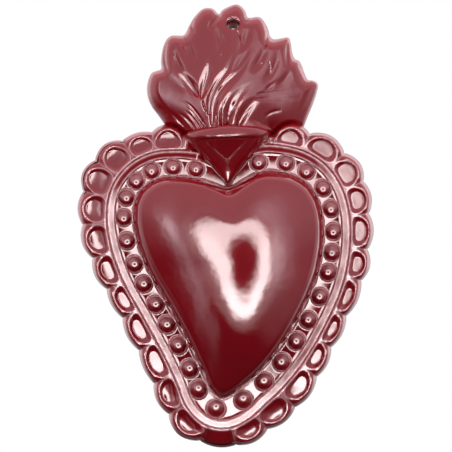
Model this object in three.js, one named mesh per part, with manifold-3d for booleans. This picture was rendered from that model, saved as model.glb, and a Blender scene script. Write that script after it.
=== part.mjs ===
// A votive heart for the wall in glazed ceramic: a hollow domed heart on a slab, with a crown of flames that
// rises from a flared collar, a string of beads, a raised band and a border of scooped petals.
// Millimetres. X points right, Z up, and the front faces -Y. The wall is the plane y = 0, and the origin is
// where the axis of the nail hole meets it. Heights above the wall are called rises here.

import * as THREE from "three";
import { mergeVertices } from "three/addons/utils/BufferGeometryUtils.js";
import Module from "manifold-3d";

// Heart
const heartWidth = 95;
const heartHeight = 113;
const heartRise = 32; // crown above the slab
const heartWall = 6;
const heartShift = -2.25; // cleft's line from the nail hole's
const summit = [7.9, 40]; // crown's place in the heart drawing
const domeShoulder = 2.4; // higher keeps the crown flat further out
const domeFullness = 2.2; // higher makes the sides steeper
const domeRoundness = 0.46; // radius of its round top, as a share of the smaller of width and height

// Slab
const slabThickness = 7;

// Beads and their channel
const beadAtTop = 7.7; // diameter beside the collar
const beadAtToe = 8.7; // diameter at the heart's toe
const beadRise = 4.4;
const beadHeartGap = 0.7;
const beadBandGap = 1.2;
const toeSlack = 1.2; // extra width of the channel round the toe
const toeReach = 13; // distance from the toe over which it fades
const firstBeadGap = 4.7; // room between the collar's foot and the string's two ends
const lastBeadGap = 1.4;
const beadGaps = [ // in the order of the balls, stretched alike to fill their line
  3.3, 2.6, 1.1, 1.4, 2, 3.4, 4, 2.7, 3.5, 3.4, 3.5, 4.7, 3, 5.1,
  6.7, 5.6, 4.7, 4.6, 3.9, 4.7, 4.6, 1.8, 2.3, 3.2, 2.8, 3.6, 2.9, 5.4,
];

// Band
const bandWidth = 3;
const bandRise = 3.5;
const bandStart = 0.045; // shares of the way round, both ends behind the collar
const bandEnd = 0.957;

// Border
const petalRise = 4.5;
const petalScoop = 3;
const petalLedge = 1.2; // slab that shows outside a petal
const toeRise = 3;

// Collar
const collarWidth = 44;
const collarHeight = 29;
const collarRise = 17;
const collarTilt = THREE.MathUtils.degToRad(2.3);
const collarAboveCleft = 2;
const collarLean = 0.9; // lip's middle from the foot's, sideways

// Flames
const flameWidth = 85.5;
const flameHeight = 61;
const flameEdge = 6; // thickness along the outline
const flameRise = 20.5; // thickness at the root
const flameGroove = 1.8;
const flameSkirt = 12; // what reaches down behind the border, before the slab's edge cuts it
const holeDiameter = 6.4;
const holeBelowTip = 9.75;
const heartBelowFlames = 22.5; // heart's top from the flames' foot

const gap = 0.3; // between pieces that meet but aren't flush
const flameTop = holeBelowTip;
const flameFoot = flameTop - flameHeight;
const heartTop = flameFoot - heartBelowFlames;

// Heart's footprint from the cleft round the left lobe, in hundredths of its width from the cleft's line
// and of its height from the top.
const heartDrawing = [
  [0, 7.5], [-7.4, 5.5], [-16.8, 3.1], [-27.4, 2.2], [-36.8, 3.1], [-43.9, 6.6], [-48.4, 12.2], [-49.7, 20.1],
  [-47.9, 30.3], [-42.4, 43.1], [-32.4, 58], [-21.1, 75.2], [-12.9, 89.2], [-8.4, 96.9], [-3.7, 100],
  [2.1, 98.2], [8.9, 93.8], [17.1, 87.8], [28.7, 75.9], [41.1, 57.5], [46.8, 45.8], [49.7, 33.8], [50, 22.3],
  [47.6, 13.1], [42.6, 6.2], [35.3, 2], [26.3, 0], [17.4, 0], [8.4, 3.8],
];

// Where neighbouring petals meet on the slab's edge, from the collar round the left, in the same measure.
// The third number is how far in millimetres the edge bulges from there to the next corner.
const petalCorners = [
  [-23.2, -17, 4.2], [-40, -17.3, 1.9], [-55.5, -13.5, 3.8], [-69.7, -4.9, 3.9], [-75.8, 8.8, 2.9],
  [-76.3, 23.5, 3.1], [-71.1, 38.3, 2.8], [-63.7, 52, 1.9], [-55.3, 64.8, 2.3], [-46.8, 79, 1.8],
  [-38.9, 93.6, 2.6], [-31.1, 107.1, 4.8], [-14.7, 118.8, 2.4], [4.2, 120.6, 3.1], [20.8, 113.7, 2.7],
  [35.3, 104, 2.7], [46.6, 90.7, 2.2], [54.2, 77.7, 2.2], [62.1, 63.9, 2.4], [70, 48.2, 3],
  [73.2, 34.5, 2.9], [73.9, 18.6, 2.9], [71.1, 4.4, 3.8], [61.1, -8, 4.4], [42.9, -16.6, 5.5], [24.2, -17, 0],
];
const toeCell = 12; // the plain cell between the two lowest petals

// Flames' outline from the left foot over the tips, in hundredths of their width from the nail hole's line
// and of their height above the foot.
const flameDrawing = [
  [-38.9, 0], [-43.6, 9.4], [-47.1, 16], [-49.4, 23.4], [-50, 31.6], [-48.8, 39.8], [-47.1, 43.9],
  [-44.7, 45.5], [-41.8, 47.1], [-41.8, 52.9], [-41.2, 61.1], [-40.1, 66.8], [-38.3, 71.7], [-36, 74.2],
  [-33, 74.6], [-28.4, 75], [-25.4, 82.4], [-23.1, 88.1], [-20.2, 93], [-17.3, 96.3], [-14.3, 97.1],
  [-11.4, 96.3], [-7.9, 92.2], [-6.1, 95.1], [-3.2, 97.5], [2, 100], [5, 98.4], [7.3, 94.7], [9.1, 89.3],
  [14.3, 89.8], [16.7, 88.9], [19, 84.8], [20.8, 79.9], [21.9, 74.2], [23.7, 71.7], [29.5, 72.5],
  [31.9, 73], [33, 72.5], [34.2, 67.6], [34.8, 61.1], [36.5, 55.3], [38.9, 53.7], [40.6, 49.6],
  [41.8, 44.7], [44.2, 38.1], [46.5, 37.7], [48.8, 36.5], [50, 34], [49.4, 28.3], [47.7, 20.9],
  [45.9, 14.3], [44.2, 8.6], [41.8, 0],
];
const flameRoot = [-1.5, 17]; // where the tongues fan out from

// Collar at hundredths of its height: half width in hundredths of the widest one, and rise in hundredths of
// collarRise.
const collarProfile = [
  [0, 6, 15], [15, 20, 35], [28, 35, 50], [47, 57, 67], [65, 80, 82], [74, 92, 88], [79, 96, 95],
  [86, 100, 100], [93, 93, 97], [98, 74, 90], [100, 37, 82],
];

const wasm = await Module();
wasm.setup();

// Geometry as a solid that can be cut and joined.
function solid(geometry) {
  const bare = geometry.index ? geometry.toNonIndexed() : geometry.clone();
  const plain = new THREE.BufferGeometry().setAttribute("position", bare.getAttribute("position"));
  const merged = mergeVertices(plain, 1e-3);
  return new wasm.Manifold(
    new wasm.Mesh({
      numProp: 3,
      vertProperties: merged.attributes.position.array,
      triVerts: new Uint32Array(merged.index.array),
    }),
  );
}

// Solid back to geometry that a mesh can show.
function shown(manifold) {
  const mesh = manifold.getMesh();
  const geometry = new THREE.BufferGeometry();
  geometry.setAttribute("position", new THREE.BufferAttribute(mesh.vertProperties, 3));
  geometry.setIndex(new THREE.BufferAttribute(mesh.triVerts, 1));
  return geometry;
}

// Closed surface through rings of equally many points, between two poles: rings of one point.
function loft(rings) {
  const points = rings.flat();
  const firsts = rings.map((_, r) => rings.slice(0, r).reduce((sum, ring) => sum + ring.length, 0));
  const faces = [];
  for (let r = 1; r < rings.length; r++) {
    const sides = Math.max(rings[r - 1].length, rings[r].length);
    for (let i = 0; i < sides; i++) {
      const j = (i + 1) % sides;
      const [a, b] = rings[r - 1].length === 1 ? [0, 0] : [i, j];
      const [c, d] = rings[r].length === 1 ? [0, 0] : [i, j];
      if (a !== b) faces.push(firsts[r - 1] + a, firsts[r - 1] + b, firsts[r] + d);
      if (c !== d) faces.push(firsts[r - 1] + a, firsts[r] + d, firsts[r] + c);
    }
  }
  const geometry = new THREE.BufferGeometry().setFromPoints(points);
  geometry.setIndex(faces);
  return geometry;
}

// Point of the relief at a place on the wall and a rise from it.
function raised(place, rise) {
  return new THREE.Vector3(place.x, -rise, place.y);
}

// Slab with the given outline and rises, and an opening if one is given.
function slab(outline, bottom, top, opening) {
  const shape = new THREE.Shape(outline);
  if (opening) shape.holes.push(new THREE.Path(opening));
  const geometry = new THREE.ExtrudeGeometry(shape, { depth: top - bottom, bevelEnabled: false });
  return geometry.rotateX(Math.PI / 2).translate(0, -bottom, 0);
}

// Smooth closed outline through drawn points, as evenly spaced points.
function smoothLoop(places, count) {
  const points = places.map((p) => new THREE.Vector3(p.x, p.y, 0));
  const spaced = new THREE.CatmullRomCurve3(points, true, "centripetal").getSpacedPoints(count);
  return spaced.slice(0, count).map((p) => new THREE.Vector2(p.x, p.y));
}

function heartPlace([across, down]) {
  return new THREE.Vector2(heartShift + (across / 100) * heartWidth, heartTop - (down / 100) * heartHeight);
}

// The heart's footprint, and everything that is laid out round it by distance from it.
const heartSteps = 360;
const heartFoot = smoothLoop(heartDrawing.map(heartPlace), heartSteps);
const outward = heartFoot.map((_, i) => {
  const before = heartFoot[(i + heartSteps - 1) % heartSteps];
  const after = heartFoot[(i + 1) % heartSteps];
  return new THREE.Vector2(after.y - before.y, before.x - after.x).normalize();
});
const toeIndex = heartFoot.reduce((low, p, i) => (p.y < heartFoot[low].y ? i : low), 0);
const stepLength = heartFoot[0].distanceTo(heartFoot[1]);

function away(i, distance) {
  return heartFoot[i].clone().addScaledVector(outward[i], distance);
}

// Extra width at the toe, fading out on both sides of it.
function slack(i) {
  const far = Math.abs(i - toeIndex) * stepLength;
  return toeSlack * Math.exp(-((far / toeReach) ** 2));
}

function beadDiameter(i) {
  const down = THREE.MathUtils.clamp((heartTop - heartFoot[i].y) / heartHeight, 0, 1);
  return THREE.MathUtils.lerp(beadAtTop, beadAtToe, down);
}

function channelWidth(i) {
  return beadDiameter(i) + beadHeartGap + beadBandGap + slack(i);
}

function bandEdge(i) {
  return channelWidth(i) + bandWidth;
}

// Hollow heart: rings that shrink from the footprint to the summit and grow round as they rise.
function domeRings(foot, rise, levels) {
  const centre = heartPlace(summit);
  const rounding = Math.min(heartWidth, heartHeight) * domeRoundness;
  return levels.map((level) => {
    if (level === 0) return [raised(centre, slabThickness + rise)];
    const height = rise * (1 - level ** domeShoulder) ** (1 / domeFullness);
    return foot.map((p) => {
      const ray = p.clone().sub(centre);
      const round = THREE.MathUtils.lerp(rounding, ray.length(), level ** 0.8);
      return raised(centre.clone().addScaledVector(ray.normalize(), round * level), slabThickness + height);
    });
  });
}

const domeSides = 72;
const hollowFoot = [];
const domeFoot = [];
for (let i = 0; i < heartSteps; i += heartSteps / domeSides) {
  domeFoot.push(heartFoot[i]);
  hollowFoot.push(away(i, -heartWall));
}

function heartDome() {
  const levels = [1, 0.985, 0.95, 0.89, 0.8, 0.68, 0.52, 0.34, 0.16, 0];
  const outside = domeRings(domeFoot, heartRise, levels);
  const inside = domeRings(hollowFoot, heartRise - heartWall, levels);
  return loft([...inside.reverse(), ...outside]);
}

// Outline of the slab's edge over one cell of the border.
function cellArch(cell, share) {
  const from = heartPlace(petalCorners[cell]);
  const to = heartPlace(petalCorners[cell + 1]);
  const along = to.clone().sub(from);
  const out = new THREE.Vector2(along.y, -along.x).normalize();
  const bulge = petalCorners[cell][2] * Math.sin(Math.PI * share) ** 0.75;
  return from.addScaledVector(along, share).addScaledVector(out, bulge);
}

const archSteps = 8;
const cells = petalCorners.length - 1;
const slabOutline = [];
for (let cell = 0; cell < cells; cell++) {
  for (let k = 0; k < archSteps; k++) slabOutline.push(cellArch(cell, k / archSteps));
}
slabOutline.push(heartPlace(petalCorners[cells]));

function backPlate() {
  return slab(slabOutline, 0, slabThickness, hollowFoot);
}

// Step of the way round at which the band's outer edge comes nearest a place.
const bandFirst = Math.round(bandStart * heartSteps);
const bandLast = Math.round(bandEnd * heartSteps);

function nearestStep(place) {
  let best = bandFirst;
  for (let i = bandFirst; i <= bandLast; i++) {
    const near = away(i, bandEdge(i)).distanceTo(place) < away(best, bandEdge(best)).distanceTo(place);
    if (near) best = i;
  }
  return best;
}

// Footprint of a petal: straight along the band, and a flat-sided arch towards the slab's edge.
const petalSides = 12;
function petalFoot(cell) {
  const from = nearestStep(heartPlace(petalCorners[cell]));
  const to = nearestStep(heartPlace(petalCorners[cell + 1]));
  const width = heartPlace(petalCorners[cell]).distanceTo(heartPlace(petalCorners[cell + 1]));
  const margin = gap / 2 / width;
  const foot = [];
  const place = (u, v) => {
    const share = THREE.MathUtils.lerp(margin, 1 - margin, u);
    const i = THREE.MathUtils.lerp(from, to, share);
    const low = Math.floor(i);
    const inner = away(low, bandEdge(low) + gap).lerp(away(low + 1, bandEdge(low + 1) + gap), i - low);
    const outer = cellArch(cell, share);
    const depth = inner.distanceTo(outer);
    return inner.lerp(outer, (v * (depth - petalLedge)) / depth);
  };
  foot.push(place(2 / 3, 0), place(1 / 3, 0));
  for (let k = 0; k <= petalSides; k++) {
    const turn = (Math.PI * k) / petalSides;
    const across = Math.sign(Math.cos(turn)) * Math.abs(Math.cos(turn)) ** (2 / 3);
    foot.push(place(0.5 - across / 2, Math.abs(Math.sin(turn)) ** (2 / 3)));
  }
  return foot;
}

// Pad on the slab with this footprint, through rings of [share of the footprint, rise].
function pad(foot, levels) {
  const centre = foot.reduce((sum, p) => sum.add(p), new THREE.Vector2()).divideScalar(foot.length);
  const rings = levels.map(([share, rise]) => {
    if (share === 0) return [raised(centre, slabThickness + rise)];
    return foot.map((p) => raised(centre.clone().lerp(p, share), slabThickness + rise));
  });
  return loft(rings);
}

function petal(cell) {
  const floor = petalRise - petalScoop;
  const levels = [[0, 0], [1, 0], [0.96, petalRise * 0.7], [0.88, petalRise], [0.52, floor], [0, floor]];
  return pad(petalFoot(cell), levels);
}

function toeLip() {
  return pad(petalFoot(toeCell), [[0, 0], [1, 0], [0.92, toeRise * 0.7], [0.75, toeRise], [0, toeRise]]);
}

// Strip beside the channel, on edge from behind the collar round the toe to behind the collar again.
function borderBand() {
  const inner = [];
  const outer = [];
  for (let i = bandFirst; i <= bandLast; i += 3) {
    inner.push(away(i, channelWidth(i)));
    outer.push(away(i, bandEdge(i)));
  }
  return slab([...outer, ...inner.reverse()], slabThickness, slabThickness + bandRise);
}

// Half width of the collar where it stands on the slab, at a height above its foot.
function collarHalf(height) {
  const up = (height / collarHeight) * 100;
  const k = Math.max(1, collarProfile.findIndex((row) => row[0] >= up));
  const [low, high] = [collarProfile[k - 1], collarProfile[k]];
  const share = THREE.MathUtils.clamp((up - low[0]) / (high[0] - low[0]), 0, 1);
  return ((THREE.MathUtils.lerp(low[1], high[1], share) / 100) * collarWidth) / 2;
}

// Room between the collar and a bead that has its middle at this step of the way round.
function roomAtCollar(i) {
  const at = beadMiddle(i);
  const height = at.y - cleft.y - collarAboveCleft;
  const middle = cleft.x + (collarLean * height) / collarHeight - height * Math.tan(collarTilt);
  return Math.abs(at.x - middle) - collarHalf(height) - beadDiameter(i) / 2;
}

function beadMiddle(i) {
  return away(i, beadDiameter(i) / 2 + beadHeartGap + slack(i) / 2);
}

// Beads along their line, with the gaps between them stretched to fill it.
function beadPlaces() {
  let first = 1;
  while (roomAtCollar(first) < firstBeadGap) first += 1;
  let last = heartSteps - 1;
  while (roomAtCollar(last) < lastBeadGap) last -= 1;
  const line = [];
  for (let i = first; i <= last; i++) line.push(beadMiddle(i));
  const run = line.map(() => 0);
  for (let k = 1; k < line.length; k++) run[k] = run[k - 1] + line[k].distanceTo(line[k - 1]);
  const length = run[run.length - 1];
  const typical = (beadAtTop + beadAtToe) / 2;
  const stretch = (length - beadGaps.length * typical) / beadGaps.reduce((sum, room) => sum + room, 0);
  const stops = [0];
  for (const room of beadGaps) stops.push(stops[stops.length - 1] + typical + room * stretch);
  return stops.map((stop) => {
    const past = run.findIndex((r) => r > stop);
    const k = past < 0 ? line.length - 1 : past;
    const share = Math.min(1, (stop - run[k - 1]) / (run[k] - run[k - 1]));
    return { at: line[k - 1].clone().lerp(line[k], share), diameter: beadDiameter(first + k) };
  });
}

function bead(diameter) {
  const profile = [new THREE.Vector2(0, 0)];
  for (const turn of [0, 0.3, 0.6, 0.85]) {
    const angle = (turn * Math.PI) / 2;
    profile.push(new THREE.Vector2((Math.cos(angle) * diameter) / 2, Math.sin(angle) * beadRise));
  }
  profile.push(new THREE.Vector2(0, beadRise));
  return new THREE.LatheGeometry(profile, 12).rotateX(Math.PI);
}

// Flared half funnel with a rolled lip. The grown one is the room that its neighbours leave for it.
const cleft = heartPlace(heartDrawing[0]);
function collar(grow = 0) {
  const turns = 12;
  const top = collarProfile.length - 1;
  const rings = collarProfile.map(([up, half, rise], level) => {
    const endwise = level === 0 ? -grow : level === top ? grow : 0;
    const height = (up / 100) * collarHeight + endwise;
    const ring = [];
    for (let k = 0; k <= turns; k++) {
      const turn = Math.PI * (1 + k / turns);
      const x = Math.cos(turn) * ((half / 100) * (collarWidth / 2) + grow);
      const out = k % turns ? Math.sin(turn) * ((rise / 100) * collarRise + grow) : grow;
      ring.push(new THREE.Vector3(x + (collarLean * up) / 100, out - slabThickness, height));
    }
    return ring;
  });
  const middle = (ring) => {
    const sum = ring.reduce((total, p) => total.add(p), new THREE.Vector3());
    return [sum.divideScalar(ring.length)];
  };
  const geometry = loft([middle(rings[0]), ...rings, middle(rings[top])]);
  return geometry.rotateY(-collarTilt).translate(cleft.x, 0, cleft.y + collarAboveCleft);
}

// Flames: rings of [share of the outline, rise, share of the grooves' depth] that shrink from the outline to
// the root, with a groove from every notch. What the slab and the collar need is cut away.
function flameCrown(room) {
  const place = ([across, up]) => {
    return new THREE.Vector2((across / 100) * flameWidth, flameFoot + (up / 100) * flameHeight);
  };
  const root = place(flameRoot);
  const drawn = flameDrawing.map(place);
  const skirt = [
    new THREE.Vector2(drawn[drawn.length - 1].x, flameFoot - flameSkirt),
    new THREE.Vector2(drawn[0].x, flameFoot - flameSkirt),
  ];
  const outline = [...drawn, ...skirt].reverse();
  const reach = outline.map((p) => p.distanceTo(root));
  const notches = outline.map((_, i) => {
    const inFlame = i > skirt.length && i < outline.length - 1;
    return inFlame && reach[i] < reach[i - 1] && reach[i] < reach[i + 1];
  });
  const swell = (share) => THREE.MathUtils.lerp(flameRise, flameEdge, share ** 1.3);
  const levels = [
    [1, 0, 0], [1, flameEdge * 0.75, 0], [0.95, flameEdge, 0.6], [0.78, swell(0.78), 1],
    [0.56, swell(0.56), 1], [0.34, swell(0.34), 0.7], [0.15, swell(0.15), 0.3],
  ];
  const rings = levels.map(([share, rise, groove]) => {
    return outline.map((p, i) => {
      return raised(root.clone().lerp(p, share), rise - (notches[i] ? groove * flameGroove : 0));
    });
  });
  const body = loft([[raised(root, 0)], ...rings, [raised(root, flameRise)]]);
  const nail = new THREE.CylinderGeometry(holeDiameter / 2, holeDiameter / 2, 4 * flameRise, 24);
  const edge = slabOutline.map((p, i) => {
    const before = slabOutline[(i + slabOutline.length - 1) % slabOutline.length];
    const after = slabOutline[(i + 1) % slabOutline.length];
    const out = new THREE.Vector2(after.y - before.y, before.x - after.x).normalize();
    return p.clone().addScaledVector(out, gap);
  });
  const seat = slab(edge, -flameRise, 4 * flameRise);
  return shown(solid(body).subtract(solid(nail)).subtract(solid(seat)).subtract(room));
}

const glaze = { color: 0x8a1424, roughness: 0.12, metalness: 0 };
const heart = new THREE.Group();

function add(name, geometry) {
  geometry.computeVertexNormals();
  const mesh = new THREE.Mesh(geometry, new THREE.MeshStandardMaterial(glaze));
  mesh.name = name;
  heart.add(mesh);
  return mesh;
}

function numbered(name, number) {
  return `${name}_${String(number).padStart(2, "0")}`;
}

const collarRoom = solid(collar(gap));
add("back_plate", backPlate());
add("heart_dome", heartDome());
add("flame_crown", flameCrown(collarRoom));
add("collar", collar());
add("border_band", shown(solid(borderBand()).subtract(collarRoom)));
add("toe_lip", toeLip());

beadPlaces().forEach(({ at, diameter }, i) => {
  add(numbered("bead", i + 1), bead(diameter)).position.copy(raised(at, slabThickness));
});

let petals = 0;
for (let cell = 0; cell < cells; cell++) {
  if (cell === toeCell) continue;
  petals += 1;
  add(numbered("petal", petals), shown(solid(petal(cell)).subtract(collarRoom)));
}

export default heart;
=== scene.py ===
# A votive heart for the wall in glazed ceramic: its surfaces, glaze and light round its construction. Sizes
# are in millimetres and every mesh is written in metres. X points right, Z up, and the front faces -Y. The
# wall is the plane y = 0, and heights above it are called rises. A place is a pair (x, z) on the wall.

import math

import bpy
import numpy as np
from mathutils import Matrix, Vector, geometry

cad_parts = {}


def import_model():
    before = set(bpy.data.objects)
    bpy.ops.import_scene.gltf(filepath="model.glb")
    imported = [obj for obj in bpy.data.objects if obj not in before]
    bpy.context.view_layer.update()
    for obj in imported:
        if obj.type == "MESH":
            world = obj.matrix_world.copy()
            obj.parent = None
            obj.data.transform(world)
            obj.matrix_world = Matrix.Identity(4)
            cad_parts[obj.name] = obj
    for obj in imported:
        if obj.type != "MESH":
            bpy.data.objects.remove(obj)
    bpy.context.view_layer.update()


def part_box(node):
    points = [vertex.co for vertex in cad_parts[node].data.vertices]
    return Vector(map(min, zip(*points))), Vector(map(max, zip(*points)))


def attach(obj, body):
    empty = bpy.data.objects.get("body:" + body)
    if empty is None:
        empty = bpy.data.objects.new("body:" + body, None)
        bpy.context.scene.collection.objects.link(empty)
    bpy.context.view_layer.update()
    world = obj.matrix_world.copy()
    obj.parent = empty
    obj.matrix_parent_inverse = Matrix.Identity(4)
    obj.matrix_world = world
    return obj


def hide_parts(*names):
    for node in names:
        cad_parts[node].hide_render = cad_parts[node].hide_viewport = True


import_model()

MM = 0.001  # metres in a millimetre
FAR = 1e3  # stands for anything beyond a search's reach
CURVE_STEPS = 24  # between two points that a smooth line goes through

# Camera: a long lens straight in front, with 226 mm of the wall across the picture
PICTURE_WIDTH = 226
PICTURE_MIDDLE = (-3.25, -101)
CAMERA_DISTANCE = 1600
SENSOR = 36

# Heart
HEART_WIDTH = 95
HEART_HEIGHT = 113
HEART_TOP = -73.75
HEART_SHIFT = -2.25  # cleft's line from the nail hole's
HEART_RISE = 32  # crown above the slab
HEART_WALL = 6
SUMMIT = (7.9, 40)  # in the measure of the drawing below
SLAB = 7  # thickness

# Beads' channel and the band outside it
BEAD_AT_TOP = 7.7
BEAD_AT_TOE = 8.7
BEAD_HEART_GAP = 0.7
BEAD_BAND_GAP = 1.2
TOE_SLACK = 1.2  # extra room at the toe
TOE_REACH = 13
BAND_WIDTH = 3
BAND_RISE = 3.5
BAND_START = 0.045  # in shares of the way round from the cleft
BAND_END = 0.957

# Collar
COLLAR_WIDTH = 44
COLLAR_HEIGHT = 29
COLLAR_RISE = 17
COLLAR_TILT = math.radians(2.3)
COLLAR_ABOVE_CLEFT = 2
COLLAR_LEAN = 0.9
COLLAR_ROWS = 90
COLLAR_SIDES = 96
DISH_RINGS = 8  # of its hollow top
DISH_DEPTH = 7  # in hundredths of its height
DISH_STEEPNESS = 1.6
DISH_RISE = 42  # at its middle, in hundredths of COLLAR_RISE

# Flames
FLAME_WIDTH = 85.5
FLAME_HEIGHT = 61
FLAME_FOOT = -51.25
FLAME_RISE = 20.5
FLAME_ROOT = (-1.5, 17)  # in the measure of their drawing below

# Heart's footprint from the cleft round the left lobe, in hundredths of its width from the cleft's line
# and of its height from the top.
HEART_DRAWING = [
    (0, 7.5), (-7.4, 5.5), (-16.8, 3.1), (-27.4, 2.2), (-36.8, 3.1), (-43.9, 6.6), (-48.4, 12.2),
    (-49.7, 20.1), (-47.9, 30.3), (-42.4, 43.1), (-32.4, 58), (-21.1, 75.2), (-12.9, 89.2), (-8.4, 96.9),
    (-3.7, 100), (2.1, 98.2), (8.9, 93.8), (17.1, 87.8), (28.7, 75.9), (41.1, 57.5), (46.8, 45.8),
    (49.7, 33.8), (50, 22.3), (47.6, 13.1), (42.6, 6.2), (35.3, 2), (26.3, 0), (17.4, 0), (8.4, 3.8),
]

# Where neighbouring petals meet on the slab's edge, in the same measure. The third number is how far in
# millimetres the edge bulges from there to the next corner.
PETAL_CORNERS = [
    (-23.2, -17, 4.2), (-40, -17.3, 1.9), (-55.5, -13.5, 3.8), (-69.7, -4.9, 3.9), (-75.8, 8.8, 2.9),
    (-76.3, 23.5, 3.1), (-71.1, 38.3, 2.8), (-63.7, 52, 1.9), (-55.3, 64.8, 2.3), (-46.8, 79, 1.8),
    (-38.9, 93.6, 2.6), (-31.1, 107.1, 4.8), (-14.7, 118.8, 2.4), (4.2, 120.6, 3.1), (20.8, 113.7, 2.7),
    (35.3, 104, 2.7), (46.6, 90.7, 2.2), (54.2, 77.7, 2.2), (62.1, 63.9, 2.4), (70, 48.2, 3),
    (73.2, 34.5, 2.9), (73.9, 18.6, 2.9), (71.1, 4.4, 3.8), (61.1, -8, 4.4), (42.9, -16.6, 5.5),
    (24.2, -17, 0),
]
CELLS = len(PETAL_CORNERS) - 1
TOE_CELL = 12

# Flames' outline from the left foot over the tips, in hundredths of their width from the nail hole's line
# and of their height above the foot.
FLAME_DRAWING = [
    (-38.9, 0), (-43.6, 9.4), (-47.1, 16), (-49.4, 23.4), (-50, 31.6), (-48.8, 39.8), (-47.1, 43.9),
    (-44.7, 45.5), (-41.8, 47.1), (-41.8, 52.9), (-41.2, 61.1), (-40.1, 66.8), (-38.3, 71.7), (-36, 74.2),
    (-33, 74.6), (-28.4, 75), (-25.4, 82.4), (-23.1, 88.1), (-20.2, 93), (-17.3, 96.3), (-14.3, 97.1),
    (-11.4, 96.3), (-7.9, 92.2), (-6.1, 95.1), (-3.2, 97.5), (2, 100), (5, 98.4), (7.3, 94.7), (9.1, 89.3),
    (14.3, 89.8), (16.7, 88.9), (19, 84.8), (20.8, 79.9), (21.9, 74.2), (23.7, 71.7), (29.5, 72.5),
    (31.9, 73), (33, 72.5), (34.2, 67.6), (34.8, 61.1), (36.5, 55.3), (38.9, 53.7), (40.6, 49.6),
    (41.8, 44.7), (44.2, 38.1), (46.5, 37.7), (48.8, 36.5), (50, 34), (49.4, 28.3), (47.7, 20.9),
    (45.9, 14.3), (44.2, 8.6), (41.8, 0),
]

# Collar at hundredths of its height: half width in hundredths of the widest one, and rise in hundredths of
# COLLAR_RISE.
COLLAR_PROFILE = [
    (0, 3, 20), (1.5, 6, 31), (4, 9, 39.5), (7, 12, 41.2), (12, 17, 42.8), (18, 24, 44.4), (23, 29.5, 46.2),
    (29, 36, 50.5), (38, 46.5, 58.5), (47, 57, 66.5), (56, 68.5, 73.8), (65, 80, 81), (73, 89, 87.8),
    (77, 93, 92), (79.5, 96.5, 98), (82, 98.6, 100), (86, 100, 98.3), (92, 94.5, 94.5), (96.5, 80, 89),
    (99.2, 55, 82), (100, 37, 76),
]

# Relief of the border
FOOT_STEPS = 1440
CLEFT_NEAR = 4  # where the border's lines leave the heart's cleft straight up
CLEFT_FAR = 8
COLUMNS = 38  # across each petal
PLAIN_COLUMNS = 76  # across the plain stretch behind the collar
BULGE_ROUNDNESS = 0.75  # of each petal's edge, from 1 for a sine's arch down to 0 for a flat top
UNDER_CLAY = 6.5  # slab's face under the band and the petals
BACK_EDGE = [(0, 1.1), (0.3, 0.35), (0.9, 0)]  # rounding of the slab's back edge: inset and rise
FILLET_AT_HEART = 1
FILLET_AT_BEAD = 0.8
FILLET_STEEPNESS = 0.6  # height over width
SKIRT_WIDTH = 1.2  # gentle slope of glaze outside the fillets
SKIRT_SLOPE = 0.2
BED_FADE = 1.2  # where the channel's own slope dies out at its sides
BAND_FADE = 12  # steps over which the band comes up at its ends
BAND_FOOT = 1  # where the band's glaze starts to rise from the channel
BAND_TOP = 0.4  # where its flat top starts
SEAM_RISE = 9.9  # valley between the band and the petals
SEAM_WIDTH = 0.5
SEAM_TO_PETAL = 0.9  # from its bottom to the petals' ridges
PETAL_CREST = 11.5
PETAL_SCOOP = 1.5
PETAL_WALL = 1.8
PETAL_SQUARENESS = 3.2  # of the dish's side along the band
PETAL_ROUNDNESS = 2.1  # of its outer side
BOWL_DEPTH = 1.35  # of a round dish, in shares of a flat one's
RIDGE_HALF = 0.5  # half of the ridge between neighbouring dishes
RIDGE_REACH = 1.8
DISH_FROM_BAND = 0.75
DISH_FROM_EDGE = 2.8
DISH_SHIFT = 0.35  # how far off its place a dish may be pressed
EDGE_RISE = 3  # slab's silhouette
EDGE_ROUND = 2.8
EDGE_POWER = 2.2
SADDLE = 1.5  # dip of the ridge between two petals at the slab's edge
SADDLE_WIDTH = 1.6
SADDLE_LENGTH = 4
TOE_CREST = 10
TOE_FOOT = 1
TAB_WIDTH = 7.5  # of the border's ends beside the collar
TAB_COLUMNS = 13
HOLLOW_INSET = 6.5  # of the opening behind the dome, from the heart's foot

# Pale lines: glaze broken thin over ridges, rims and the band's outer edge, and painted highlight in the
# corners at the feet of the heart, the beads and the band and at the seam. Their widths, and how pale the
# petals' are
LINE_WIDTH = 0.42
DOME_LINE_WIDTH = 0.6
BEAD_LINE_WIDTH = 0.84
RIM_LINE_WIDTH = 0.3
RIM_LINE = 0.6
RIDGE_LINE_WIDTH = 0.35
RIDGE_LINE = 0.3
LINE_FROM_BEAD = 0.1
LINE_REACH = 2

# How the border lies on the slab. Each row is a bearing from the heart's middle, in degrees anticlockwise
# from the right, and a value there.
BORDER_MIDDLE = (0, 45)  # in the measure of the heart's drawing
PETAL_DROOP = [  # degrees outward
    (0, 4.9), (60, 5.1), (90, 8), (112, 12), (122, 17), (148, 17), (160, 11), (174, 6.5), (185, 6),
    (232, 6.3), (242, 10), (250, 14), (284, 14), (294, 12.5), (304, 6), (360, 4.7),
]
PETAL_BOWL = [  # 0 for dishes with a flat floor, 1 for round bowls
    (0, 0), (90, 0), (112, 0.4), (160, 0.4), (174, 0.2), (185, 0), (235, 0), (246, 0.5), (290, 0.5),
    (300, 0), (360, 0),
]
BAND_TILT = [  # degrees outward
    (0, 4.4), (40, 4.6), (58, 2), (75, 1), (125, 1), (140, 3), (150, 5.3), (240, 4.9), (262, 5), (285, 5),
    (300, 4), (315, 3.6), (340, 4), (360, 4.3),
]
CHANNEL_TROUGH = [  # millimetres from the channel's sides down to its middle
    (0, 0.3), (190, 0.3), (210, 0.05), (245, 0), (305, 0), (330, 0.2), (360, 0.3),
]
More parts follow.
